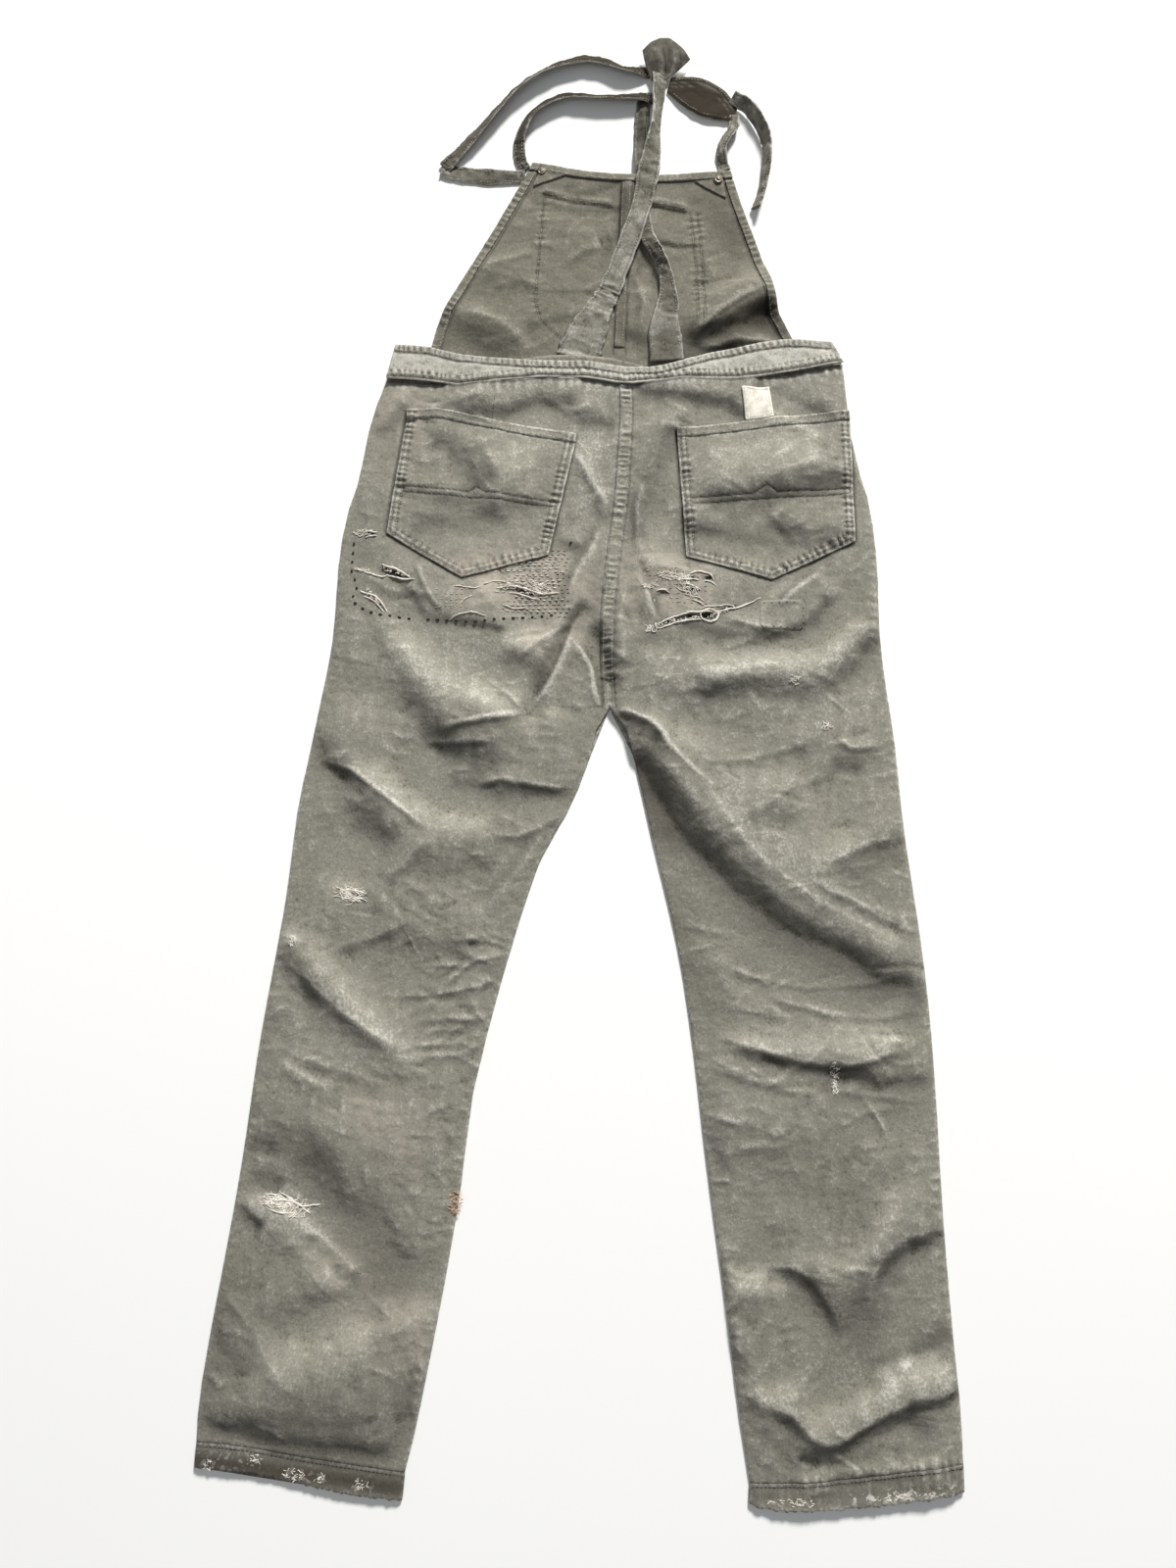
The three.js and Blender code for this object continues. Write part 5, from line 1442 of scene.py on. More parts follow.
# What is sewn on the bib's inner face: corners, flat size, height over the bib.
BIB_TRIM = {
    "bib_top_hem": ([(-52, 604), (162, 594), (165, 587), (-56, 597)], (0.22, 0.0105), 1.6),
    "bib_side_hem_left": ([(-64, 590), (-54, 590), (-150, 389), (-160, 389)], (0.0105, 0.22), 1.6),
    "bib_side_hem_right": ([(158, 580), (168, 580), (229, 389), (218, 389)], (0.0105, 0.2), 1.6),
    "bib_centre_seam": ([(44, 579), (55, 579), (46, 388), (35, 388)], (0.011, 0.19), 1.6),
    "bib_corner_left": ([(-45, 594), (-18, 588), (-35, 582), (-52, 576)], (0.03, 0.02), 1.7),
    "bib_corner_right": ([(124, 581), (154, 585), (157, 562), (141, 571)], (0.03, 0.02), 1.7),
}
CHEST_POCKETS = {
    "bib_pocket_left": [(-41, 566), (37, 550), (28, 400), (-47, 435)],
    "bib_pocket_right": [(56, 551), (118, 547), (122, 414), (48, 400)],
}


def bib_grid():
    """The bib's panel: kept over its pockets, and turned down along its two sides."""
    sides = split_loop(outline("bib"), BIB_CORNERS)
    across, down = counts(330, 235, 2.2)
    xy = coons(sides, across, down, 2)
    x, y = xy[..., 0], xy[..., 1]
    nearest = np.minimum(*(nearest_on_line(x, y, sides[edge])[0] for edge in SIDES))
    z = soft_floor(bib.sample(x, y), 1.9, 0.4)
    return np.dstack([xy, rounded_down(z, 1.5, np.clip(nearest / 6, 0, 1))])


def build_bib():
    sheet("bib", bib_grid(), CLOTH, INSIDE, "twill_inside", bib, (0.402, 0.24), [FLOOR], area=0.068)
    for name, (corners, cut, lift) in BIB_TRIM.items():
        grid = on_relief(name, corners, 1.4, bib, lift)
        options = {"area": 0.0003} if "corner" in name else {}
        if name == "bib_centre_seam":
            grid[:, [0, -1], 2] -= 0.8
            options = {"worn_edge": 0.2, "extra": {"dark": np.full(grid.shape[:2], 0.5)}}
        sheet(name, grid, CLOTH, INSIDE, "twill_inside", bib, cut, ["bib"], **options)
    for name, corners in CHEST_POCKETS.items():
        grid = flat_grid(name, corners, 5, CLOTH, 97, 0.1)
        sheet(name, grid, CLOTH, TWILL, "twill", bib, (0.085, 0.165), [FLOOR], area=0.012)


# ---------------------------------------------------------------- straps
# Stations of each strap: (x, y, lowest point, roll in degrees, width), from its start to its end.
STRAPS = {
    "strap_left_back": [
        (-5, 372, 3.9, 0, 47), (5, 399, 4.6, 0, 42), (19, 430, 5.4, 0, 30), (28, 446, 5.9, 0, 25),
        (34, 460, 6.2, 0, 24), (51, 506, 8.3, 0, 23), (65, 549, 8.6, 0, 21), (72, 585, 8.6, 0, 25),
        (77, 612, 8, 15, 20), (81, 640, 5, 48, 17), (84, 670, 3, 48, 17), (86, 697, 3, 30, 17),
        (87, 712, 3, 10, 18),
    ],
    "strap_right_back": [
        (91, 371, 3.9, 0, 39), (89, 412, 5.4, 0, 32), (93, 440, 5.9, 0, 22), (91, 468, 5.9, -5, 15),
        (84, 487, 5.9, -40, 15), (76, 503, 5.9, -22, 16), (70, 520, 5.8, 0, 15), (68, 545, 5.8, 0, 14),
        (67, 580, 5.7, 0, 15), (67, 603, 4, 8, 17), (66, 632, 0.6, 0, 17), (67, 660, 0.4, 0, 16),
        (71, 690, 0.4, 0, 16),
    ],
    "strap_left_inner": [
        (78, 684, 0.2, 0, 15), (64, 683, 0.2, 30, 17), (20, 682, 0.2, 42, 17), (-20, 683, 0.2, 35, 17),
        (-52, 664, 0.2, 45, 17), (-65, 640, 0.2, 40, 16), (-68, 624, 0.2, 20, 14),
        (-66, 607, 0.2, 10, 13), (-60, 597, 0.2, 0, 12),
    ],
    "strap_left_outer": [
        (76, 715, 0.2, 0, 15), (62, 716, 0.2, 26, 16), (47, 717, 0.2, 38, 17), (26, 726, 0.2, 30, 18),
        (4, 729, 0.2, 30, 18), (-25, 722, 0.2, 38, 18), (-47, 710, 0.2, 48, 18), (-69, 693, 0.2, 52, 18),
        (-90, 669, 0.2, 48, 18), (-111, 642, 0.2, 40, 18), (-131, 618, 0.8, 20, 17),
        (-143, 605, 2.0, 6, 16), (-149, 598, 2.4, 0, 15),
    ],
    "strap_left_return": [
        (-153, 596, 0, 0, 16), (-144, 594, 0, 0, 18), (-125, 591, 0, 0, 19), (-100, 588, 0, 6, 18),
        (-73, 588, 0, 4, 16), (-61, 589, 0, 0, 15),
    ],
    "strap_right_turn": [
        (168, 662, 0.2, 10, 11), (167, 646, 0.2, 30, 13), (159, 634, 0.2, 40, 15),
        (153, 619, 0.2, 45, 15), (154, 605, 0.2, 20, 13), (157, 595, 0.2, 5, 13),
    ],
    "strap_right_outer": [
        (166, 683, 0.2, 30, 15), (181, 671, 0.2, 55, 17), (192, 655, 0.2, 60, 18),
        (200, 636, 0.2, 62, 18), (203, 618, 0.2, 62, 18), (201, 595, 0.2, 60, 18),
        (196, 568, 0.2, 58, 17), (189, 548, 0.2, 50, 15),
    ],
}
STRAP_NODES = {
    "strap_left_back": ["strap_left_gusset", "strap_left_back"],
    "strap_right_back": ["strap_right_gusset", "strap_right_back"],
}
# How much painted shade each strap has at its start and its end, darkest inside the loops.
STRAP_SHADE = {
    "strap_left_back": (0.1, 1.2),
    "strap_right_back": (1.0, 1.9),
    "strap_left_inner": (3.2, 1.4),
    "strap_left_outer": (3.0, 1.4),
    "strap_left_return": (1.0, 1.4),
    "strap_right_turn": (0.9, 0.6),
    "strap_right_outer": (0.3, 0.1),
}
STRAP_THICKNESS = 2.3
STITCH_INSET = 3.2  # of a strap's two rows of stitches from its edges
STRAP_TOP_POINTS = 15
STRAP_BACK_POINTS = 7
STRAP_LOWEST = 0.15  # of a strap's underside over the floor


def spline(points, steps):
    """Catmull-Rom curve through rows of numbers, with steps points between each two."""
    points = np.asarray(points, float)
    wide = np.vstack([2 * points[0] - points[1], points, 2 * points[-1] - points[-2]])
    t = np.linspace(0, 1, steps, endpoint=False)[:, None]
    out = []
    for a, b, c, d in zip(wide, wide[1:], wide[2:], wide[3:]):
        bend, twist = 2 * a - 5 * b + 4 * c - d, 3 * b - a - 3 * c + d
        out.append(0.5 * (2 * b + (c - a) * t + bend * t**2 + twist * t**3))
    return np.vstack([*out, points[-1:]])


def strap_frame(stations):
    """Middle, side vector, face vector and width along a strap, about 2 mm apart."""
    length = line_length(stations)
    dense = spline(stations, max(6, int(length / (len(stations) - 1) / 2)))
    middle = dense[:, :3].copy()
    ahead = np.gradient(middle[:, :2], axis=0)
    ahead /= np.linalg.norm(ahead, axis=1)[:, None]
    roll = np.radians(dense[:, 3])
    side = np.stack([-ahead[:, 1] * np.cos(roll), ahead[:, 0] * np.cos(roll), np.sin(roll)], axis=1)
    along = np.column_stack([ahead, np.zeros(len(ahead))])
    face = np.cross(along, side)
    width = dense[:, 4]
    middle[:, 2] += width / 2 * np.abs(np.sin(roll)) + STRAP_THICKNESS / 2 * np.cos(roll)
    return middle, side, face, width


def strap_relief(steps, s, is_top, width, seed):
    """Ripples and lumps of a strap's top over its section, with its stitched grooves and roped edges."""
    ripples = noise_field((steps, len(s)), 2.2, seed, (2.0, 1.0)) * 0.45 * is_top
    lumps = noise_field((steps, len(s)), 6, seed + 1, (2.0, 1.0)) * 0.45 * is_top
    roping = np.cos(np.arange(steps)[:, None] * 2 * math.pi / 3.3 + 2.0 * np.sign(s)[None])
    lumps = lumps + 0.45 * roping * np.exp(-(((1 - np.abs(s)) * 8 - 1.6) ** 2))[None] * is_top
    groove = -0.5 * bell(from_stitches(s, width), 0.9)
    return ripples, lumps, groove * is_top


def from_stitches(s, width):
    """Distance across a strap from its rows of stitches; s runs from -1 to 1 across it."""
    return np.abs(s)[None] * width[:, None] / 2 - (width[:, None] / 2 - STITCH_INSET)


def strap_fields(name, s, is_top, width, crest):
    """The numbers that the cloth's material reads on a strap."""
    steps = len(width)
    from_edge = 1 - np.abs(s)
    # Painted shade along the strap, lighter towards its edges.
    shade = np.linspace(*STRAP_SHADE[name], steps)[:, None] * (0.25 + 0.75 * (1 - np.abs(s)[None] ** 4))
    fields = {key: np.zeros(steps * len(s)) for key in ("brown", "paint", "lit")}
    fields["crest"] = crest.reshape(-1)
    fields["edge"] = np.tile(np.exp(-from_edge * 5), steps)
    fields["pale"] = np.tile(1.2 * np.exp(-from_edge * 9) * is_top, steps)
    # Painted shade: the strap's underside is always dark.
    fields["dark"] = np.where(is_top[None], shade, 1.6).reshape(-1)
    fields["seam"] = (0.7 * bell(from_stitches(s, width), 0.8)).reshape(-1)
    return fields


def tube_faces(steps, around_count):
    """Quads round a tube of rings, with both ends closed."""
    a = np.arange(steps - 1)[:, None] * around_count + np.arange(around_count)[None]
    b = np.arange(steps - 1)[:, None] * around_count + (np.arange(around_count)[None] + 1) % around_count
    faces = np.stack([a, b, b + around_count, a + around_count], axis=-1).reshape(-1, 4).tolist()
    last = (steps - 1) * around_count
    return faces + [list(range(around_count))[::-1], [last + k for k in range(around_count)]]


def strap(name, stations, seed):
    """A strap along its stations. Returns its middle, side vector, face vector and width."""
    middle, side, face, width = strap_frame(stations)
    steps = len(middle)
    back = np.linspace(-1, 1, STRAP_BACK_POINTS + 2)[1:-1]
    s = np.concatenate([np.linspace(1, -1, STRAP_TOP_POINTS), back])
    is_top = np.arange(len(s)) < STRAP_TOP_POINTS
    ripples, lumps, grooves = strap_relief(steps, s, is_top, width, seed)
    rise = np.where(is_top, 1, -1) * np.sqrt(np.clip(1 - np.abs(s) ** 6, 0, 1)) * STRAP_THICKNESS / 2
    lift = rise[None] + (ripples + lumps + grooves) * (1 - np.abs(s)[None] ** 6)
    edge_wave = 1 + 0.035 * noise_field((steps, 1), 3, seed + 2)
    across = s[None] * (width[:, None] / 2 * edge_wave)
    ring = middle[:, None] + across[..., None] * side[:, None] + lift[..., None] * face[:, None]
    ring[..., 2] = np.maximum(ring[..., 2], STRAP_LOWEST)
    fields = strap_fields(name, s, is_top, width, np.clip((ripples + 0.7 * lumps) * 1.2, -1, 1))
    piece = new_mesh(name, ring.reshape(-1, 3), tube_faces(steps, len(s)), TWILL, fields)
    finished(piece, STRAP_NODES.get(name, name))
    length = float(np.linalg.norm(np.diff(middle, axis=0), axis=1).sum())
    return middle, side, face, width


def strap_rows(middle, side, face, width):
    """The two rows of stitches along a strap."""
    outward = side * (width / 2 - STITCH_INSET)[:, None]
    top = face * (STRAP_THICKNESS / 2 - 0.15)
    return [middle + outward + top, middle - outward + top]


def fold_relief(name):
    relief = own_relief([name], 8, 1.6)
    relief.roughen([(0.35, 7, 98, (1, 1)), (0.12, 3, 99, (1, 1))])
    return relief


def build_fold(name, relief, pale_lines, darkness, corners, material, slot, cut, area):
    """A folded stretch of strap on the floor, with painted shade over it but for its pale lines."""
    relief.note_crests()
    grid = on_relief(name, corners, 1.6, relief, 0)
    # Painted shade, left out along the pale lines.
    shade = darkness * (1 - sum_of_spots(grid[..., 0].ravel(), grid[..., 1].ravel(), pale_lines))
    sheet(name, grid, 1.8, material, slot, relief, cut, [FLOOR], area=area,
          extra={"dark": shade.reshape(grid.shape[:2])})


def build_top_fold():
    """The pleated fold at the top of the straps."""
    relief = fold_relief("strap_top_fold")
    relief.crease(1.6, 5, 2, [(82, 738), (87, 722), (89, 705)], taper=0.1)
    relief.crease(-1.0, 2, 2, [(97, 736), (96, 722), (92, 708)], taper=0.1)
    relief.crease(1.0, 2, 4, [(104, 734), (106, 722), (100, 710)], taper=0.1)
    relief.seams = [
        (0.8, 1.2, [(90, 736), (93, 722), (93, 708)]),
        (0.6, 1.0, [(109, 731), (110, 720), (104, 710)]),
    ]
    pale_lines = [(0.6, 1.2, [(80, 738), (85, 722), (88, 706)]), (0.5, 1.2, [(102, 735), (103, 722), (98, 708)])]
    corners = [(68, 738), (120, 727), (93, 704), (78, 703)]
    build_fold("strap_top_fold", relief, pale_lines, 1.5, corners, TWILL, "twill", (0.05, 0.05), 0.0013)


def build_right_inner():
    """The right strap's run below the top fold. Returns the lines of its two rows of stitches."""
    name = "strap_right_inner"
    corners = [(100, 709), (172, 673), (166, 655), (95, 692)]
    relief = fold_relief(name)
    top = edge_polyline("top", name, corners)
    bottom = edge_polyline("bottom", name, corners)
    relief.seams = [(0.7, 1.2, inset(top, -4)), (0.6, 1.0, inset(top, -9))]
    pale_lines = [(0.95, 1.1, inset(top, -0.8)), (0.55, 0.8, inset(top, -7)), (0.5, 0.8, inset(top, -11.5))]
    build_fold(name, relief, pale_lines, 2.3, corners, INSIDE, "twill_inside", (0.09, 0.05), 0.0027)
    return [laid_on(inset(line, amount), relief, 0.2) for line, amount in ((top, -3.2), (bottom, 3.2))]


def build_straps():
    """All the straps. Returns the rows of stitches on them."""
    rows = []
    for number, (name, stations) in enumerate(STRAPS.items()):
        made = strap(name, stations, 200 + 5 * number)
        rows += [(row, 3.4, 2.3, 0.42, 0.12) for row in strap_rows(*made)]
    build_top_fold()
    return rows + [(row, 3.4, 2.3, 0.42, 0.1) for row in build_right_inner()]


# A bib button's section from its middle on the cloth to its middle on top: (radius, height).
BUTTON_PROFILE = [
    (0.0, 0.0), (4.1, 0.0), (4.5, 0.35), (4.5, 0.9), (4.1, 1.35), (3.4, 1.45), (2.9, 1.2), (2.5, 1.25),
    (1.9, 1.75), (1.0, 1.95), (0.0, 1.9),
]
BUTTON_TURNS = 28


def build_buttons():
    """Tack buttons seen from behind: a round cap with a rolled rim and a dimple."""
    for name in ("bib_button_left", "bib_button_right"):
        low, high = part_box(name)
        middle = (low + high) / 2 / MM
        points, faces = [], []
        for radius, height in BUTTON_PROFILE:
            for k in range(BUTTON_TURNS):
                angle = 2 * math.pi * k / BUTTON_TURNS
                x, y = middle.x + radius * math.cos(angle), middle.y + radius * math.sin(angle)
                points.append((x, y, low.z / MM + height))
        for start in range(0, (len(BUTTON_PROFILE) - 1) * BUTTON_TURNS, BUTTON_TURNS):
            for k in range(BUTTON_TURNS):
                a, b = start + k, start + (k + 1) % BUTTON_TURNS
                faces.append((a, b, b + BUTTON_TURNS, a + BUTTON_TURNS))
        finished(new_mesh(name, points, faces, METAL), name)


# ---------------------------------------------------------------- threads
STITCH_SIDES = 5


def stitch_template():
    rings = [(-0.5, 0.35), (0.0, 1.0), (0.5, 0.35)]
    angle = np.linspace(0, 2 * math.pi, STITCH_SIDES, endpoint=False)
    points = [(t, r * math.cos(a), r * math.sin(a) * 0.8) for t, r in rings for a in angle]
    faces = []
    for k in range(len(rings) - 1):
        for i in range(STITCH_SIDES):
            j = (i + 1) % STITCH_SIDES
            faces.append([k * STITCH_SIDES + i, k * STITCH_SIDES + j, (k + 1) * STITCH_SIDES + j,
                          (k + 1) * STITCH_SIDES + i])
    faces.append(list(range(STITCH_SIDES))[::-1])
    faces.append([2 * STITCH_SIDES + i for i in range(STITCH_SIDES)])
    return np.array(points), faces


def stitch_places(line, pitch, source, missing=0.0):
    """Middles and directions of stitches along a line of 3-D points; a share of them is worn away."""
    line = np.asarray(line, float)
    lengths = np.r_[0, np.cumsum(np.linalg.norm(np.diff(line, axis=0), axis=1))]
    at = np.arange(pitch / 2, lengths[-1], pitch)
    at = at[source.random(len(at)) >= missing]
    place = np.stack([np.interp(at, lengths, line[:, k]) for k in range(3)], axis=1)
    ahead = np.stack([np.interp(at + 0.8, lengths, line[:, k]) for k in range(3)], axis=1)
    behind = np.stack([np.interp(at - 0.8, lengths, line[:, k]) for k in range(3)], axis=1)
    direction = ahead - behind
    direction /= np.linalg.norm(direction, axis=1)[:, None] + 1e-9
    return place, direction


def upright(direction):
    """Vectors sideways from and up from some directions."""
    sideways = np.stack([-direction[:, 1], direction[:, 0], np.zeros(len(direction))], axis=1)
    sideways /= np.linalg.norm(sideways, axis=1)[:, None] + 1e-9
    return sideways, np.cross(direction, sideways)


def stitch_points(template, place, direction, length, radius, source):
    """The template laid at each place, each stitch a little longer or shorter and turned."""
    sideways, up = upright(direction)
    size = source.uniform(0.8, 1.15, (len(place), 1, 1))
    direction = direction + sideways * source.normal(0, 0.10, (len(place), 1))
    return (
        place[:, None]
        + template[None, :, :1] * direction[:, None] * length * size
        + template[None, :, 1:2] * sideways[:, None] * radius
        + template[None, :, 2:] * up[:, None] * radius
    )


def stitches(name, rows, material, seed):
    """One joined mesh of stitches. rows holds (line, pitch, length, radius, share worn away)."""
    source = np.random.default_rng(seed)
    template, template_faces = stitch_template()
    points, faces, start = [], [], 0
    for line, pitch, length, radius, missing in rows:
        place, direction = stitch_places(line, pitch, source, missing)
        if not len(place):
            continue
        points.append(stitch_points(template, place, direction, length, radius, source).reshape(-1, 3))
        for offset in range(start, start + len(points[-1]), len(template)):
            faces += [[offset + i for i in face] for face in template_faces]
        start += len(points[-1])
    finished(new_mesh(name, np.vstack(points), faces, material), None)


def thread_rings(line, radius, angle, phase):
    """Rings of points round a loose thread, thinner towards its ends."""
    t = np.linspace(0, 1, len(line))
    thick = 0.35 + 0.65 * np.sin(math.pi * t) ** 0.5 + 0.12 * np.sin(19 * t + phase)
    ahead = np.gradient(line, axis=0)
    ahead /= np.linalg.norm(ahead, axis=1)[:, None] + 1e-9
    sideways, up = upright(ahead)
    return line[:, None] + radius * thick[:, None, None] * (
        np.cos(angle)[None, :, None] * sideways[:, None] + np.sin(angle)[None, :, None] * up[:, None]
    )


def tubes(name, lines, radii, material, sides):
    """One joined mesh of loose threads along lines of 3-D points."""
    angle = np.linspace(0, 2 * math.pi, sides, endpoint=False)
    points, faces, start = [], [], 0
    for number, (line, radius) in enumerate(zip(lines, np.broadcast_to(radii, len(lines)))):
        line = spline(line, 4)
        points.append(thread_rings(line, radius, angle, 7 * number).reshape(-1, 3))
        faces += [[start + i for i in face] for face in tube_faces(len(line), sides)]
        start += len(points[-1])
    finished(new_mesh(name, np.vstack(points), faces, material), None)


def laid_on(line, relief, lift, step=2.0):
    """A line in the plane, laid on a relief at a height over it."""
    count = max(3, int(line_length(line) / step))
    line = resampled(np.asarray(line, float)[:, :2], count)
    return np.column_stack([line, relief.sample(line[:, 0], line[:, 1]) + lift])


# ---------------------------------------------------------------- stitched seams
# A row of stitches: (line of 3-D points, pitch, stitch length, radius, share worn away).
def seam_rows():
    rows = []

    def row(line, relief, lift, pitch=3.3, length=2.3, radius=0.42, missing=0.15):
        rows.append((laid_on(line, relief, lift), pitch, length, radius, missing))

    for edge, amount in ((BAND_EDGE_LOWER, 5.2), (BAND_EDGE_LOWER, 9.6), (BAND_EDGE_UPPER, -2.4),
                         (BAND_EDGE_UPPER, -6.0)):
        row(inset(edge, amount), band, 0.45)
    for side in SIDES:
        edge = resampled(POCKET_EDGES[side], 160)
        row(inset(edge, 2.4), pockets, LIFT + 0.65)
        row(inset(edge, 8.2), pockets, LIFT + 0.65)
        hem_top = edge_polyline("top", f"pocket_hem_{side}", POCKET_HEM_CORNERS[side])
        row(inset(hem_top, -7.2), pockets, 3.5)
        row(inset(hem_top, -2.0), pockets, 3.5, missing=0.3)
    centre = resampled(CENTRE_BACK, 120)
    for amount in (-4.2, 4.2):
        row(inset(centre, amount), body, 1.45)
    label = [(171, 337), (196, 338), (200, 309), (175, 306), (171, 337)]
    row(label, body, 2.0, pitch=2.6, length=1.8, radius=0.3, missing=0.1)
    return rows


def dark_rows():
    """Rows sewn with dark thread: the hems, the pockets' decoration and the dart."""
    rows = []
    for side in SIDES:
        hem_line = edge_polyline("top", f"hem_back_{side}", HEM_CORNERS[side])
        rows.append((laid_on(inset(hem_line, -2.4), body, 0.75), 3.8, 2.7, 0.4, 0.1))
    rows += [(laid_on(line, pockets, LIFT + 0.65), 3.2, 2.4, 0.34, 0.05) for line in POCKET_LINES]
    rows.append((laid_on([(-90, 330), (-94, 299)], body, 0.1), 3.4, 2.4, 0.35, 0.1))
    return rows


def bib_rows():
    rows = []

    def row(line, lift):
        rows.append((laid_on(line, bib, lift), 3.2, 2.1, 0.36, 0.15))

    for edge, amount in (("left", 7.6), ("right", -7.6), ("top", -6.4)):
        row(inset(edge_polyline(edge, "bib", BIB_CORNERS), amount), 1.7)
    for x in (-3.6, 3.6):
        row([(49.5 + x, 578), (40.5 + x, 389)], 1.7)
    for line in BIB_POCKET_LINES:
        row(line, 0.1)
    row([(-42, 569), (-10, 561), (34, 554)], 0.1)
    row([(62, 556), (90, 553), (114, 549)], 0.1)
    return rows


# ---------------------------------------------------------------- damage and mending
def scattered(source, count, x, y, half_length, half_width, turn):
    """Random points in a turned ellipse."""
    radius = np.sqrt(source.random(count))
    angle = source.uniform(0, 2 * math.pi, count)
    u, v = half_length * radius * np.cos(angle), half_width * radius * np.sin(angle)
    c, s = math.cos(math.radians(turn)), math.sin(math.radians(turn))
    return np.stack([x + u * c - v * s, y + u * s + v * c], axis=1)


def thread_at(source, middle, length, turn, lift, spread=14, curl=0.9):
    """A short worn thread lying on the body."""
    angle = math.radians(source.normal(turn, spread))
    t = np.linspace(-0.5, 0.5, 5)
    sway = source.normal(0, curl, 5)
    x = middle[0] + length * t * math.cos(angle) - sway * math.sin(angle)
    y = middle[1] + length * t * math.sin(angle) + sway * math.cos(angle)
    rise = lift + source.uniform(0, 0.7, 5)
    rise[[0, -1]] = lift - 0.2
    return np.column_stack([x, y, body.sample(x, y) + rise])


# Frayed places: (x, y, half length, half width, turn of the place, turn of the threads, threads, length).
FRAYED = [
    (-225, -193, 13, 8, 0, 4, 46, 12),
    (-232, -190, 6, 4, 20, 90, 14, 8),
    (-280, -239, 3, 5, 0, 80, 12, 5),
    (-222, 139, 12, 2, -14, 40, 14, 4),
    (-190, 137, 14, 2, -18, 40, 18, 4),
    (-212, 110, 14, 2, -45, 20, 20, 4),
    (-226, 180, 9, 3, 5, 5, 20, 8),
    (-47, 121, 16, 7, -8, -6, 60, 11),
    (-75, 124, 12, 6, 10, 0, 26, 9),
    (96, 132, 16, 5, -6, 0, 44, 9),
    (72, 122, 8, 3, 10, 5, 16, 7),
    (112, 118, 12, 6, -45, -45, 26, 8),
    (98, 84, 24, 2, 9, 50, 26, 4),
    (140, 93, 14, 2, 20, 60, 14, 4),
    (70, 76, 4, 3, 0, 40, 12, 6),
    (215, 21, 5, 4, 0, 0, 10, 7),
    (245, -26, 4, 4, 0, 45, 9, 8),
    (244, -362, 3, 9, 5, 10, 16, 6),
    (244, -378, 3, 6, 0, 80, 10, 7),
    (-284, -482, 16, 6, -12, -12, 60, 12),
    (-268, -490, 10, 8, 10, 40, 26, 12),
    (-118, -482, 5, 12, 0, 2, 34, 7),
    (-342, -712, 4, 5, 0, 30, 10, 5),
    (-296, -709, 5, 4, 0, -20, 12, 6),
    (-262, -722, 9, 5, -8, 10, 22, 7),
    (-238, -725, 5, 4, 0, 60, 12, 6),
    (-200, -731, 6, 5, 0, 30, 16, 6),
    (190, -745, 26, 2.5, 0, 0, 26, 8),
    (300, -740, 34, 2.5, 4, 4, 34, 8),
]
PEACH_DARN = (-118, -482)  # the one frayed place that is darned with peach thread


def frayed_threads():
    source = np.random.default_rng(301)
    pale, peach = [], []
    for x, y, half_length, half_width, turn, threads_turn, count, length in FRAYED:
        places = scattered(source, count, x, y, half_length, half_width, turn)
        into = peach if (x, y) == PEACH_DARN else pale
        for place in places:
            into.append(thread_at(source, place, length * source.uniform(0.5, 1.2), threads_turn, 0.25))
    return pale, peach


